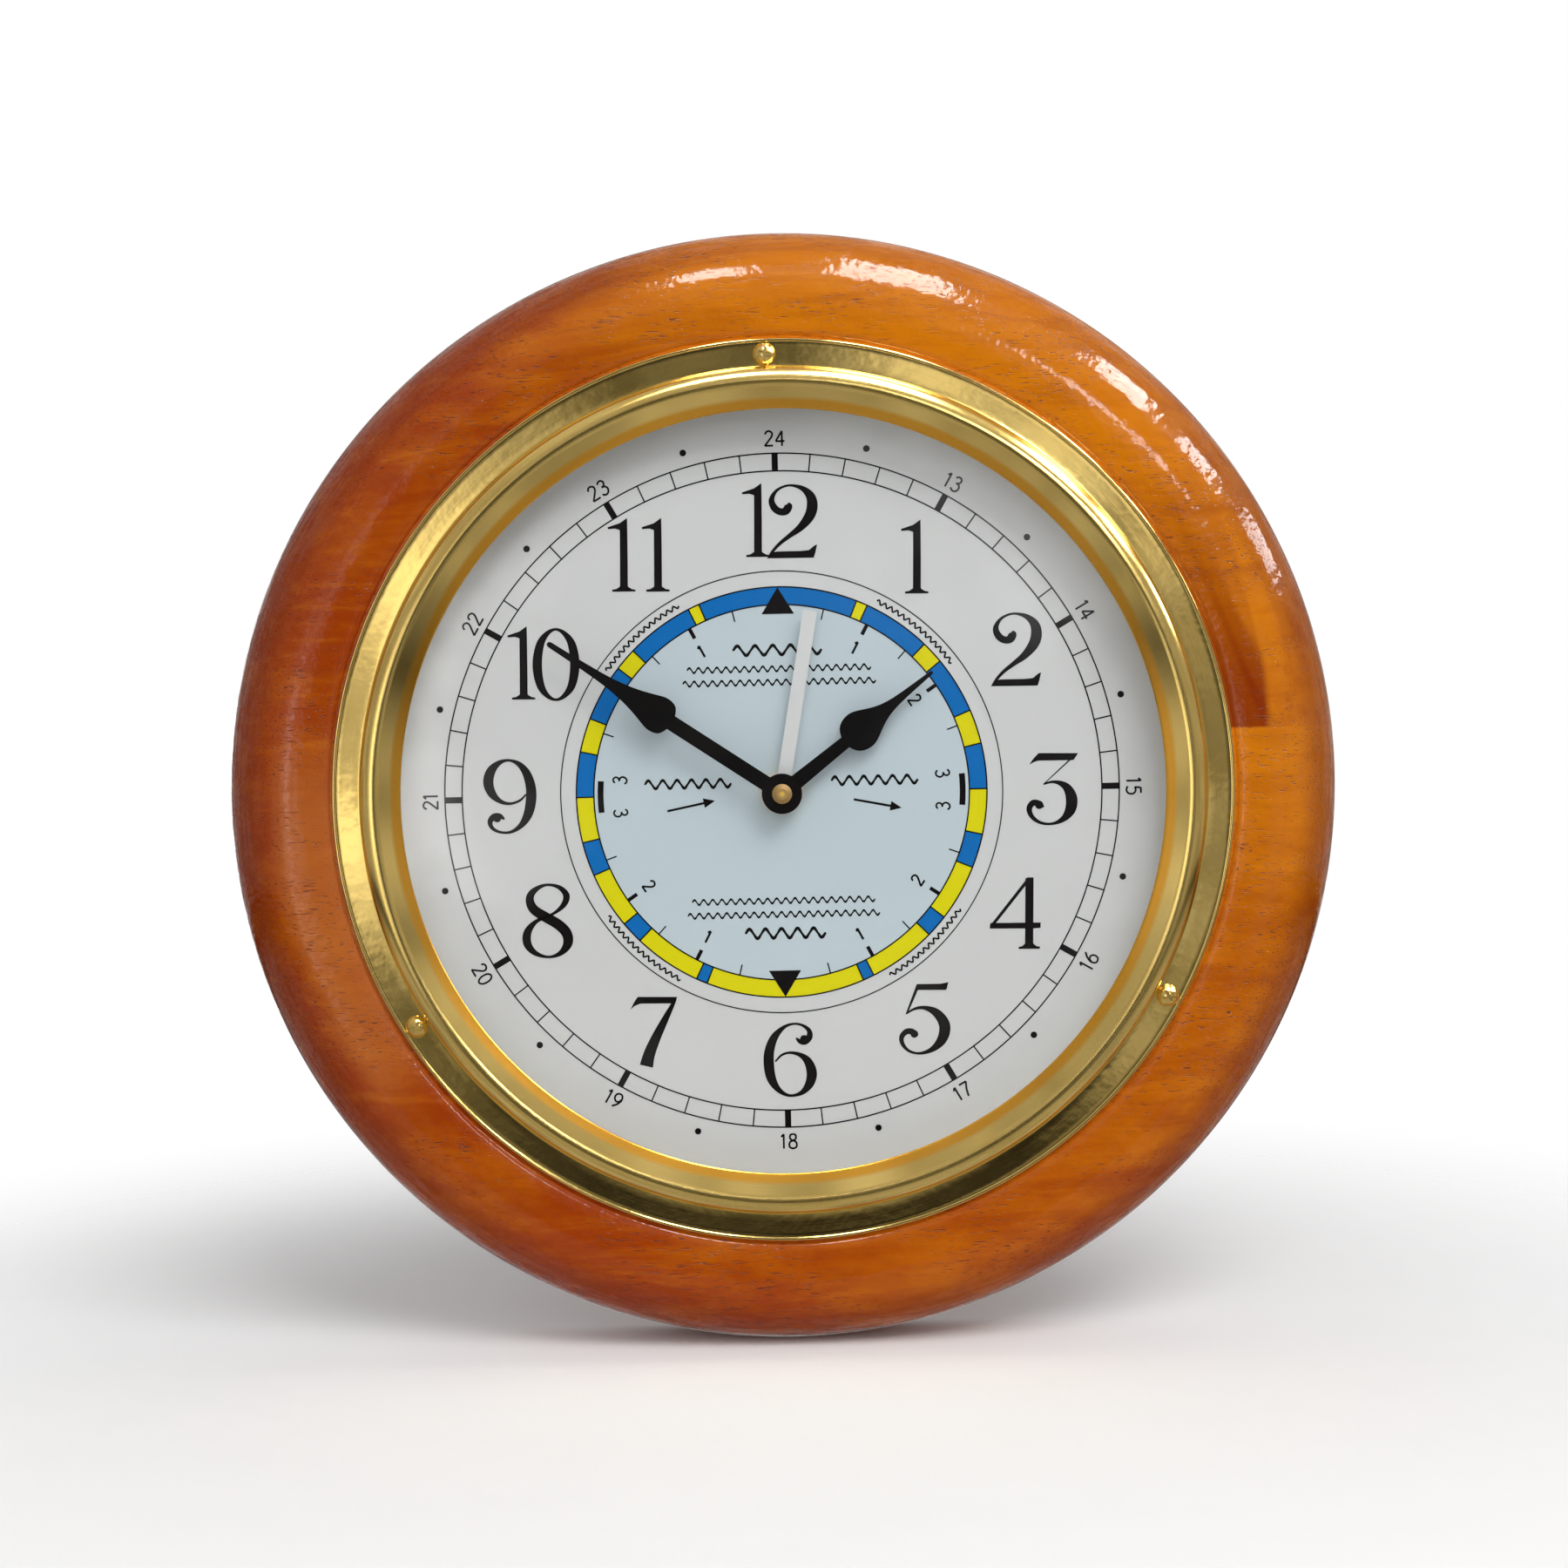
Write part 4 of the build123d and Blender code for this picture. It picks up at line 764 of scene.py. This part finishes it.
def smoothLine(marks, ring, steps):
    count = len(marks)
    line = []
    for k in range(count if ring else count - 1):
        if ring:
            four = [marks[(k + shift) % count] for shift in (-1, 0, 1, 2)]
        else:
            four = [marks[max(0, k - 1)], marks[k], marks[k + 1], marks[min(count - 1, k + 2)]]
        for step in range(steps):
            t = step / steps
            line.append(tuple(
                0.5 * (2 * b + (c - a) * t + (2 * a - 5 * b + 4 * c - d) * t * t
                       + (3 * b - a - 3 * c + d) * t ** 3)
                for a, b, c, d in zip(*four)
            ))
    if not ring:
        line.append(marks[-1])
    return line


# The big numerals are drawn on a square of 96 units with its middle at
# 48: brush strokes of x, y down and width, then corner lists, then round ends.
numerals = {
    "1": {
        "corners": [
            [(47, 17), (48, 11), (55.3, 5), (55.6, 17), (56, 50), (56.2, 84), (47.2, 84), (47.2, 50)],
            [(55.3, 5), (47, 11), (33, 15.7), (33.6, 17.8), (42, 17.2), (47, 19), (52, 14)],
            [(38.2, 86.6), (43, 85.8), (47.2, 83), (56.2, 83), (60.5, 85.8), (65, 86.6), (65, 88.6),
             (38.2, 88.9)],
        ],
    },
    "2": {
        "strokes": [
            [(43, 27.5, 2), (45, 31, 6), (41, 36.6, 8.5), (33.5, 37.3, 8), (27, 32.5, 8), (24.2, 24, 6.4),
             (29, 14.5, 3.6), (38, 9, 2.6), (48, 7.8, 2.8), (60, 11.5, 6), (68.5, 20, 10.4),
             (70.6, 31, 12.4), (67.4, 42.5, 11.8), (57.5, 55, 8.4), (45.5, 64.3, 5.4), (34, 73.3, 4),
             (26, 82, 3.4), (21.6, 89, 3)],
        ],
        "corners": [[(19, 90.4), (23.4, 84.2), (30, 82.6), (58, 82), (67, 81), (72.6, 76.2), (76.4, 74.4),
                     (74.6, 83), (72.6, 89.6), (50, 90)]],
        "balls": [(42.3, 33.6, 4.6)],
    },
    "3": {
        "strokes": [
            [(36, 43.3, 2), (46, 40.6, 3), (56, 42.4, 6), (64, 48.6, 10.2), (68.4, 60, 13.2),
             (66.8, 73, 12), (58.6, 83.4, 6.6), (46.5, 88.6, 3), (33.5, 87.6, 3.4), (23.6, 81, 5),
             (19.9, 72, 6.4), (23.8, 65, 7), (31, 65, 6), (36.5, 69.6, 2)],
        ],
        "corners": [
            [(30, 7.6), (75.4, 7.6), (70, 15.6), (30, 16.2), (25, 17.8), (19.4, 21), (24.4, 13.6)],
            [(71.8, 8.4), (75.4, 7.6), (39.8, 40.4), (39.4, 42.2), (35, 43.6)],
        ],
        "balls": [(31.3, 67, 4.8)],
    },
    "4": {
        "corners": [
            [(59.6, 8.2), (62.4, 6.9), (69, 6.9), (69.2, 84), (59.9, 84)],
            [(62.4, 6.9), (19.6, 62.4), (19, 64), (25.2, 61), (62, 13.5)],
            [(19.8, 59.6), (74, 59), (77.6, 58.9), (77.5, 65), (70, 65.7), (19, 66)],
            [(52.6, 87.2), (56.6, 86.4), (59.9, 83.2), (69.2, 83.2), (73, 86.2), (77, 86.8), (77, 89.2),
             (52.6, 89.5)],
        ],
    },
    "5": {
        "strokes": [
            [(26, 42, 1.6), (35.5, 36.2, 3), (47, 34.8, 4.6), (60, 40, 9.4), (69, 51, 12.4),
             (70.6, 62, 12.8), (66, 74, 10.6), (55.5, 83.6, 6), (42, 87.8, 3), (30, 85.2, 3.2),
             (22.4, 77.4, 4.6), (21, 69, 5.6), (26.4, 62.6, 6.6), (34, 62.8, 6.6), (39.6, 67.4, 2)],
        ],
        "corners": [
            [(38, 7.4), (66, 6.9), (74.4, 5), (72.4, 13.4), (71, 14), (37, 14.2)],
            [(38, 7.4), (40.4, 12), (28.6, 39.6), (25, 43.4)],
        ],
        "balls": [(35.6, 65.2, 4.5)],
    },
    "6": {
        "strokes": [
            [(56, 23, 2), (60.6, 27, 5.4), (66.4, 26.8, 8), (71.4, 21.4, 7.4), (70.6, 14, 5.2),
             (63, 8.2, 3.2), (53, 6.6, 2.6), (42, 10.5, 4.2), (31, 22, 8.8), (25.2, 38, 11.2),
             (24.6, 54, 12), (27.5, 70, 10.8), (34.6, 82, 7), (44, 88.8, 4), (53.4, 90, 3.2),
             (64, 85.8, 6), (72, 75.6, 10.4), (74.2, 63, 12), (69.6, 50, 9.4), (60.5, 42.6, 5.2),
             (49, 40.2, 3), (39.4, 43, 2.6), (32, 50.6, 2)],
        ],
        "balls": [(65.2, 24.2, 4.6)],
    },
    "7": {
        "strokes": [[(73.8, 9, 3), (70.4, 16, 4.6), (61.2, 34, 8), (51.4, 54, 11), (43.6, 73, 13.4),
                     (40, 87.6, 15.4)]],
        "corners": [[(30, 7), (76, 7), (71.6, 14.4), (33, 14.8), (26.8, 17.4), (21.6, 22), (26, 13)]],
    },
    "8": {
        "loop": [(49.5, 6.4, 3), (38.5, 9.6, 5), (30, 17, 8.2), (28.4, 26, 9.8), (33.4, 35.4, 11),
                 (46, 43.6, 11.6), (61, 52.4, 12), (70.6, 62.6, 12), (71.8, 74.6, 10.8), (63.4, 85.6, 6),
                 (49.6, 90, 3), (34.4, 85.6, 6), (25.4, 75, 9.4), (25.4, 61.8, 9.2), (34, 50, 5.2),
                 (46, 44, 3), (57.5, 38.4, 3.6), (67.6, 29, 6.4), (70.4, 18.6, 7.6), (62.6, 9.6, 5)],
    },
    "9": {
        "strokes": [
            [(66, 46.6, 2), (58.8, 53.8, 2.8), (47.6, 57.4, 3.2), (36.4, 54.8, 5.2), (26.8, 46, 9.6),
             (22.6, 33, 11.8), (26, 19.6, 10.4), (35.4, 10.4, 5.6), (46.6, 7.6, 3), (58, 12, 6),
             (66.6, 22.6, 9.6), (71.4, 38, 11.4), (71.6, 54, 12), (68, 70, 10.4), (60, 82.6, 6.4),
             (48.6, 90, 3.4), (36.6, 90.4, 3), (27.4, 86, 4.2), (24.4, 78.6, 6), (28.8, 72.6, 7.2),
             (35.6, 71.8, 6), (41, 75.4, 2)],
        ],
        "balls": [(32.6, 74.4, 4.6)],
    },
    "0": {
        "loop": [(61, 8.6, 3), (51, 13.5, 5.6), (43, 26, 9.2), (39.6, 48.8, 10.8), (43, 71.6, 9.2),
                 (51, 84.2, 5.6), (61, 89, 3), (71, 84.2, 5.6), (79.4, 71.6, 9.2), (82.8, 48.8, 10.8),
                 (79.4, 26, 9.2), (71, 13.5, 5.6)],
    },
}


def drawNumeral(sign, middle, slide=0.0):
    scale, centre = dial["numeralScale"], dial["numeralSquare"] / 2

    def put(x, y):
        u, w = turnedBy(((x + slide - centre) * scale, (centre - y) * scale), dial["numeralLean"])
        return (middle[0] + u, middle[1] + w)

    shape = numerals[sign]
    for stroke in shape.get("strokes", []):
        black.brush([(*put(x, y), width * scale) for x, y, width in stroke])
    if "loop" in shape:
        black.brush([(*put(x, y), width * scale) for x, y, width in shape["loop"]], True)
    for number, corners in enumerate(shape.get("corners", [])):
        black.patch([put(x, y) for x, y in corners], ink["corner"] + ink["cornerStep"] * number)
    for x, y, radius in shape.get("balls", []):
        black.spot(put(x, y), radius * scale, ink["ball"])


# Small numbers: lines through points of a unit square, one unit tall.
smallNumbers = {
    "0": [[(0.28, 1), (0.08, 0.83), (0.02, 0.5), (0.08, 0.17), (0.28, 0), (0.48, 0.17), (0.54, 0.5),
           (0.48, 0.83), (0.28, 1)]],
    "1": [[(0.10, 0.80), (0.27, 1)], [(0.27, 1), (0.27, 0)]],
    "2": [[(0.03, 0.78), (0.12, 0.95), (0.30, 1), (0.49, 0.88), (0.48, 0.66), (0.30, 0.40), (0.0, 0.02)],
           [(0, 0.03), (0.56, 0.03)]],
    "3": [[(0.05, 0.86), (0.18, 0.99), (0.38, 0.98), (0.48, 0.80), (0.38, 0.60), (0.20, 0.56)],
           [(0.20, 0.56), (0.42, 0.52), (0.54, 0.30), (0.42, 0.05), (0.20, 0.0), (0.02, 0.14)]],
    "4": [[(0.42, 0), (0.42, 1)], [(0.42, 1), (0, 0.32)], [(0, 0.32), (0.60, 0.32)]],
    "5": [[(0.50, 0.98), (0.13, 0.98)], [(0.13, 0.98), (0.09, 0.56)], [(0.09, 0.56), (0.30, 0.63),
           (0.52, 0.48), (0.52, 0.18), (0.30, 0.0), (0.02, 0.08)]],
    "6": [[(0.44, 1), (0.18, 0.72), (0.03, 0.36), (0.12, 0.06), (0.30, 0), (0.50, 0.10), (0.54, 0.36),
           (0.38, 0.56), (0.18, 0.54), (0.05, 0.34)]],
    "7": [[(0, 0.98), (0.54, 0.98)], [(0.54, 0.98), (0.32, 0.5), (0.20, 0)]],
    "8": [[(0.28, 1), (0.10, 0.92), (0.09, 0.68), (0.28, 0.55), (0.47, 0.68), (0.46, 0.92), (0.28, 1)],
           [(0.28, 0.55), (0.06, 0.42), (0.04, 0.12), (0.28, 0), (0.52, 0.12), (0.50, 0.42), (0.28, 0.55)]],
    "9": [[(0.12, 0), (0.38, 0.28), (0.53, 0.64), (0.44, 0.94), (0.26, 1), (0.06, 0.90), (0.02, 0.64),
           (0.18, 0.44), (0.38, 0.46), (0.51, 0.66)]],
}


def smallText(signs, radius, turn, height, width, inward=False):  # read from the rim, or from the middle
    step = spacing["besideOne"] if "1" in signs else spacing["step"]
    whole = step * (len(signs) - 1) + spacing["sign"]
    shiftX, shiftZ = around(radius, turn)
    for number, sign in enumerate(signs):
        for points in smallNumbers[sign]:
            marks = []
            for x, y in points:
                u, w = (x + step * number - whole / 2) * height, (y - 0.5) * height
                u, w = turnedBy((u, w), turn + 180 if inward else turn)
                marks.append((shiftX + u, shiftZ + w, width))
            if len(marks) > 2:
                black.brush(marks, steps=5)
            else:
                black.line(marks[0][:2], marks[1][:2], width, ink["short"])


def waves(x, z, length, period, swing, width):  # a level wavy line where the real dial has words
    count = 4 * max(2, round(length / period))
    marks = []
    for k in range(count + 1):
        swell = dial["waveCrest"] if k % 4 in (1, 3) else dial["waveSlope"]
        lift = swing * math.sin(math.pi / 2 * k)
        marks.append((x - length / 2 + length * k / count, z + lift, width * swell))
    black.brush(marks, steps=4)


def ringWaves(first, last):
    wave = dial["ringWave"]
    count = 4 * wave["count"]
    marks = []
    for k in range(count + 1):
        radius = wave["radius"] + wave["swing"] * math.sin(math.pi / 2 * k)
        marks.append((*around(radius, first + (last - first) * k / count), dial["wave"]))
    black.brush(marks, steps=4)


black, blue, yellow, pale = Ink(), Ink(), Ink(), Ink()

# minute track, hour bars, half-hour dots and the 24-hour numbers
inner, outer = dial["trackIn"], dial["trackOut"]
for edge in (outer, inner):
    black.circle(edge, dial["thin"])
for minute in range(60):
    if minute % 5:
        black.line(around(inner, 6 * minute), around(outer, 6 * minute), dial["thin"], ink["tick"])
for hour in range(12):
    turn = 30 * hour
    black.line(around(inner, turn), around(outer, turn), dial["hourBar"], ink["bar"])
    black.spot(around(dial["numberRing"], turn + 15), dial["dot"], ink["line"])
    signs = str(hour + 12 if hour else 24)
    smallText(signs, dial["numberRing"], turn, dial["numberTall"], dial["numberLine"], 110 < turn < 250)

# the twelve numerals: middle, then each sign with its slide to the side
numeralPlaces = {
    "12": (2.46, 82.54), "1": (41.6, 70.6), "2": (72.3, 42.2), "3": (83.1, -0.4), "4": (70.7, -38.3),
    "5": (42.7, -70.4), "6": (0.7, -82.0), "7": (-40.9, -72.7), "8": (-72.7, -37.6), "9": (-82.9, 1.1),
    "10": (-71.4, 41.0), "11": (-41.9, 73.1),
}
pairs = {"10": [("1", -27.7), ("0", 0)], "11": [("1", -20.6), ("1", 18.4)], "12": [("1", -33.3), ("2", 9.5)]}
for number, middle in numeralPlaces.items():
    for sign, slide in pairs.get(number, [(number, 0)]):
        drawNumeral(sign, middle, slide)

# tide band: blue gives way to yellow from high water round to low water
inner, outer = dial["bandIn"], dial["bandOut"]
black.circle(dial["circle"], dial["circleLine"])
for edge in (outer, inner):
    black.circle(edge, dial["bandEdge"])
changes = [(dial["yellowStep"] * k, yellow) for k in range(1, 8)]
changes += [(dial["blueStep"] * k, blue) for k in range(1, 7)]
starts = [(0.0, blue)] + sorted(changes, key=lambda change: change[0])
for number, (start, band) in enumerate(starts):
    end = starts[number + 1][0] if number + 1 < len(starts) else 180.0
    for side in (1, -1):
        first, last = sorted((side * start, side * end))
        band.sector(inner, outer, first, last, ink["band"])
        if start > 0:
            turn = side * start
            black.line(around(inner, turn), around(outer, turn), dial["bandEdge"], ink["tick"])
pale.sector(dial["middleHole"], inner, 0, 360, ink["face"], 180)

# hours before and after high and low water
for base, inward in ((0, False), (180, True)):
    for side in (1, -1):
        for step in range(1, 6):
            turn = base + side * dial["tideStep"] * step
            width = dial["thin"] if step % 2 else dial["hourTick"]
            black.line(around(inner, turn), around(dial["tickFoot"], turn), width, ink["tick"])
            if step % 2 == 0:
                hours = str(step // 2)
                width = dial["tideLines"][hours]
                smallText(hours, dial["tideNumbers"], turn, dial["tideTall"], width, inward)
        turn = base + side * dial["threeTurn"]
        smallText("3", dial["tideNumbers"], turn, dial["threeTall"], dial["tideLines"]["3"], inward)
for turn in (90, 270):
    black.sector(*dial["halfBar"], turn - dial["halfSpan"], turn + dial["halfSpan"], ink["line"])
pointer = dial["pointer"]
for turn in (0, 180):
    corners = [(0, pointer["tip"]), (pointer["half"], pointer["foot"]), (-pointer["half"], pointer["foot"])]
    black.patch([turnedBy(corner, turn) for corner in corners], ink["pointer"])

# generic waves and arrows in the places of the words: middle, length, period, swing, width
waveRows = [
    (-0.4, 43.6, 27.0, 5.4, 1.5, 0.85), (0.0, 37.9, 56.0, 2.8, 0.8, dial["wave"]),
    (0.0, 33.8, 58.8, 2.8, 0.8, dial["wave"]), (0.0, -33.0, 56.0, 2.8, 0.8, dial["wave"]),
    (0.0, -37.2, 58.8, 2.8, 0.8, dial["wave"]), (0.4, -43.0, 24.6, 4.92, 1.5, 0.85),
    (-28.5, 3.4, 26.4, 4.4, 1.3, 0.75), (28.5, 3.4, 26.4, 4.4, 1.3, 0.75),
]
for row in waveRows:
    waves(*row)
arrow = {"x": 28.5, "z": -3.6, "tail": 6.5, "tip": 5.6, "slope": 1.2, "line": 0.7, "long": 2.6, "barb": 0.9,
         "half": 1.5}
for side, lift in ((-1, arrow["slope"]), (1, -arrow["slope"])):
    tail = (arrow["x"] * side - arrow["tail"], arrow["z"] - lift)
    tip = (arrow["x"] * side + arrow["tip"], arrow["z"] + lift)
    black.line(tail, tip, arrow["line"], ink["short"])
    spin = 90 - math.degrees(math.atan2(tip[1] - tail[1], tip[0] - tail[0]))
    head = [turnedBy(corner, spin) for corner in (
        (0, arrow["long"]), (arrow["half"], -arrow["barb"]), (-arrow["half"], -arrow["barb"]))]
    black.patch([(tip[0] + u, tip[1] + w) for u, w in head], ink["arrow"])
ringSpans = [(27.6, 53.8), (306.2, 332.4), (124.2, 150.4), (209.6, 235.8)]  # degrees from twelve
for first, last in ringSpans:
    ringWaves(first, last)


def inkPaint(name, first, second):
    paint = Paint(name)
    cloud = paint.noise(paint.where(), 0.5, 3.0)
    speck = paint.noise(paint.where(), 9.0, 1.0)
    return paint.finish({
        "Base Color": paint.blend(cloud, tone(*first), tone(*second)),
        "Roughness": cloud * 0.1 + 0.5,
        "Specular IOR Level": 0.08,
        "Normal": paint.bump(speck, 0.05, 0.00005),
    })


black.piece("dialBlackPrint", inkPaint("blackInk", (7, 3, 4), (14, 8, 9)))
blue.piece("dialBlueBand", inkPaint("blueInk", (4, 104, 180), (7, 111, 186)))
yellow.piece("dialYellowBand", inkPaint("yellowInk", (222, 212, 6), (228, 219, 12)))
pale.piece("dialTideFace", inkPaint("paleInk", (194, 207, 213), (198, 210, 216)))
print("dial printed,", len(black.faces), "faces of black")


# finishes of the other pieces, tones from 0 to 255

def plasticPaint(name, first, second, roughness=0.42, relief=0.8, level=0.4):  # moulded, with a fine grain
    paint = Paint(name)
    cloud = paint.noise(paint.where(), 0.12, 2.0)
    grains = paint.noise(paint.where(), 3.2, 2.0, 0.6)
    return paint.finish({
        "Base Color": paint.blend(cloud, tone(*first), tone(*second)),
        "Roughness": grains * 0.14 + roughness,
        "Specular IOR Level": level,
        "Normal": paint.bump(grains, relief, 0.00004),
    })


def enamelPaint(name, first, second, roughness, level=0.3):  # sprayed on sheet metal
    paint = Paint(name)
    cloud = paint.noise(paint.where(), 0.05, 2.0)
    peel = paint.noise(paint.where(), 1.6, 2.0, 0.5)
    return paint.finish({
        "Base Color": paint.blend(cloud, tone(*first), tone(*second)),
        "Roughness": peel * 0.1 + roughness,
        "Specular IOR Level": level,
        "Normal": paint.bump(peel, 0.4, 0.00003),
    })


def sheetPaint(name, first, second):  # rolled plated strip with fine scratches
    paint = Paint(name)
    x, y, z = paint.split(paint.where())
    rolled = paint.noise(paint.join(x * 0.4, y * 6.0, z * 9.0), 1.0, 3.0, 0.6)
    cloud = paint.noise(paint.where(), 0.2, 3.0)
    return paint.finish({
        "Base Color": paint.blend(cloud, tone(*first), tone(*second)),
        "Metallic": 1.0,
        "Roughness": rolled * 0.16 + 0.24,
        "Normal": paint.bump(rolled, 0.5, 0.00003),
    })


def nutPaint():  # a dull turned disc with a brighter dot in the middle
    paint = Paint("nutBrass")
    x, y, z, radius = paint.axes()
    lines = paint.noise(paint.join(radius * 3.0, 0.0, 0.0), 1.0, 3.0, 0.6)
    dot = paint.smooth(radius, 0.95, 0.6)
    return paint.finish({
        "Base Color": paint.blend(dot, tone(168, 134, 78), tone(214, 176, 70)),
        "Metallic": 0.35,
        "Roughness": dot * -0.1 + lines * 0.1 + 0.56,
        "Normal": paint.bump(lines, 0.4, 0.00004),
    })


cell = {"positive": 23.9, "negative": -24.5, "bandStart": 11.0, "bandEnd": 12.6}  # places along the cell, mm


def cellPaint():  # printed sleeve with plain bands, bare metal ends
    paint = Paint("cellJacket")
    x, y, z = paint.split(paint.where())
    ends = paint.clamp((x > cell["positive"]) + (x < cell["negative"]))
    band = (x > cell["bandStart"]) * (x < cell["bandEnd"])
    wrinkle = paint.noise(paint.join(x * 0.1, y * 0.8, z * 0.8), 1.0, 3.0)
    sleeve = paint.blend(wrinkle, tone(38, 46, 62), tone(46, 55, 72))
    colour = paint.blend(x > cell["bandEnd"], sleeve, tone(58, 120, 128))
    colour = paint.blend(band, colour, tone(214, 216, 214))
    colour = paint.blend(ends, colour, tone(196, 194, 188))
    return paint.finish({
        "Base Color": colour,
        "Metallic": ends * 0.9 + 0.08,
        "Roughness": wrinkle * 0.1 + 0.25,
        "Normal": paint.bump(wrinkle, 0.3, 0.00005),
    })


def coilPaint():  # enamelled wire wound along x
    paint = Paint("coilWire")
    x, y, z = paint.split(paint.where())
    turns = paint.maths("SINE", x * 26.0 + paint.noise(paint.where(), 0.6, 2.0) * 3.0)
    return paint.finish({
        "Base Color": paint.blend(turns * 0.4 + 0.5, tone(128, 56, 26), tone(196, 104, 54)),
        "Metallic": 0.8,
        "Roughness": turns * 0.05 + 0.3,
        "Normal": paint.bump(turns, 0.8, 0.00006),
    })


def boardPaint():  # laminate with a lacquered track pattern
    paint = Paint("boardLaminate")
    x, y, z = paint.split(paint.where())
    weave = paint.maths("SINE", x * 12.0) * paint.maths("SINE", z * 12.0)
    bands = paint.maths("SINE", x * 1.7 + paint.maths("SINE", z * 0.9) * 1.4)
    tracks = (bands > 0.72) * (paint.noise(paint.where(), 0.2, 1.0) > 0.42)
    colour = paint.blend(weave * 0.3 + 0.5, tone(24, 78, 42), tone(32, 92, 52))
    return paint.finish({
        "Base Color": paint.blend(tracks, colour, tone(52, 122, 66)),
        "Roughness": weave * 0.04 + 0.36,
        "Normal": paint.bump(tracks + weave * 0.1, 0.6, 0.00004),
    })


def glassPaint():
    paint = Paint("clearGlass")
    clear = paint.node("BsdfTransparent", None, {"Color": (0.985, 0.99, 0.99, 1)})
    mirror = paint.node("BsdfGlossy", None, {"Color": (1, 1, 1, 1), "Roughness": 0.0})
    inside = paint.node("NewGeometry", output=6)
    fresnel = paint.node("Fresnel", None, {"IOR": 1.45})
    facing = fresnel * (1.0 - inside) * 1.6  # both faces' shine on the front one
    return paint.close(paint.node("MixShader", None, {0: facing, 1: clear, 2: mirror}))


steel = sheetPaint("nickelSteel", (190, 187, 178), (206, 203, 194))
head, shank, tip = hangerScrew["head"], hangerScrew["shank"], hangerScrew["tip"]
flat = [(0, 0), (head, 0), (head, hangerScrew["edge"]), (shank, hangerScrew["sink"])]
outline = flat + threaded(shank, hangerScrew["neck"], tip)
for number, (height, spin) in enumerate(hangerScrew["places"]):
    name = "hangerScrew%d" % number
    low, high = -hangerScrew["overrun"], hangerScrew["recessDepth"]
    made = crossScrew(name, (0, height), outline, low, high, hangerScrew, spin, steel)
    belongs(made, "case", "nickel_steel", "hanger_screws")
print("hanger screws set")


# black hands: how far along and the half width there, as the photo has them, in mm

spades = {
    "minute_hand": {"body": "minute_body", "turn": 303.95, "level": 11.35, "bore": 1.27, "marks": (
        (39.9, 2.3), (40.4, 3.5), (41.1, 4.6), (42, 5.2), (43.2, 5.52), (44.4, 5.62), (45.5, 5.52),
        (46.5, 5.25), (48, 4.75), (50, 4.1), (52, 3.5), (54, 2.98), (56, 2.55), (58, 2.2), (60, 1.9),
        (62, 1.65), (65, 1.42), (69, 1.22), (74, 1.05), (79, 0.94), (83.4, 0.86), (83.95, 0.68),
        (84.25, 0.35),
    )},
    "hour_hand": {"body": "hour_body", "turn": 52.2, "level": 9.45, "bore": 2.03, "marks": (
        (24.7, 1.9), (25.2, 3.1), (25.9, 4.25), (26.9, 5.1), (28, 5.65), (29.2, 5.95), (30.4, 6.03),
        (31.6, 5.9), (32.8, 5.5), (34, 4.95), (35.4, 4.2), (36.8, 3.5), (38.4, 2.8), (40.3, 2.15),
        (42.3, 1.7), (44.7, 1.36), (48, 1.08), (52, 0.86), (56, 0.66), (58.2, 0.54), (58.5, 0.3),
    )},
}
plate = {"hub": 6.1, "stemRoot": 2.3, "sheet": 0.6, "overrun": 1.0}


def spadeOutline(marks, turn):  # out along one edge, back along the other and round the hub
    hub, root = plate["hub"], plate["stemRoot"]
    side = [(root, math.sqrt(hub ** 2 - root ** 2))] + [(half, far) for far, half in marks]
    start = math.degrees(math.asin(root / hub))
    rim = [around(hub, 360 - start - (360 - 2 * start) * k / 40) for k in range(1, 40)]
    points = side + [(-x, z) for x, z in reversed(side)] + rim
    return [turnedBy(point, turn) for point in points]


handBlack = enamelPaint("handBlack", (4, 2, 2), (8, 5, 5), 0.45, 0.1)
for name, spade in spades.items():
    low = wall + spade["level"]
    high = low + plate["sheet"]
    made = prism(name + "Plate", spadeOutline(spade["marks"], spade["turn"]), low, high, handBlack)
    bore = [around(spade["bore"], turn) for turn in range(0, 360, 10)]
    carve(made, [prism("boreCutter", bore, low - plate["overrun"], high + plate["overrun"], handBlack)], 30)
    belongs(made, spade["body"], "black_paint", name)
print("hands made")


# what the pieces of the frame wear, by the finish they name or by their own name

finishes = {
    "varnished_wood": varnish,
    "polished_brass": brassPaint("brassPart", False),
    "clear_glass": glassPaint(),
    "cream_plastic": plasticPaint("creamPlastic", (222, 218, 204), (229, 226, 213), 0.45),
    "white_paint": enamelPaint("dialWhite", (209, 209, 209), (212, 212, 211), 0.5),
    "black_paint": handBlack,
    "black_rubber": plasticPaint("blackRubber", (24, 23, 22), (34, 33, 31), 0.7, 1.4),
    "black_plastic": plasticPaint("blackPlastic", (22, 22, 23), (29, 29, 30), 0.46, 1.0),
    "white_plastic": plasticPaint("whitePlastic", (226, 225, 218), (233, 232, 226), 0.36, 0.4),
    "grey_plastic": plasticPaint("greyPlastic", (66, 66, 70), (78, 78, 82)),
    "battery_jacket": cellPaint(),
    "nickel_steel": steel,
    "board_laminate": boardPaint(),
    "copper_wire": coilPaint(),
}
ownFinishes = {
    "hand_nut": nutPaint(),
    "tide_hand": enamelPaint("handWhite", (212, 212, 211), (216, 216, 215), 0.42),
}
for name, node in nodes.items():
    for slot in node.material_slots:
        kind = slot.material.name.split(".")[0] if slot.material else ""
        if kind in finishes:
            slot.material = ownFinishes.get(name, finishes[kind])
print("finishes given")
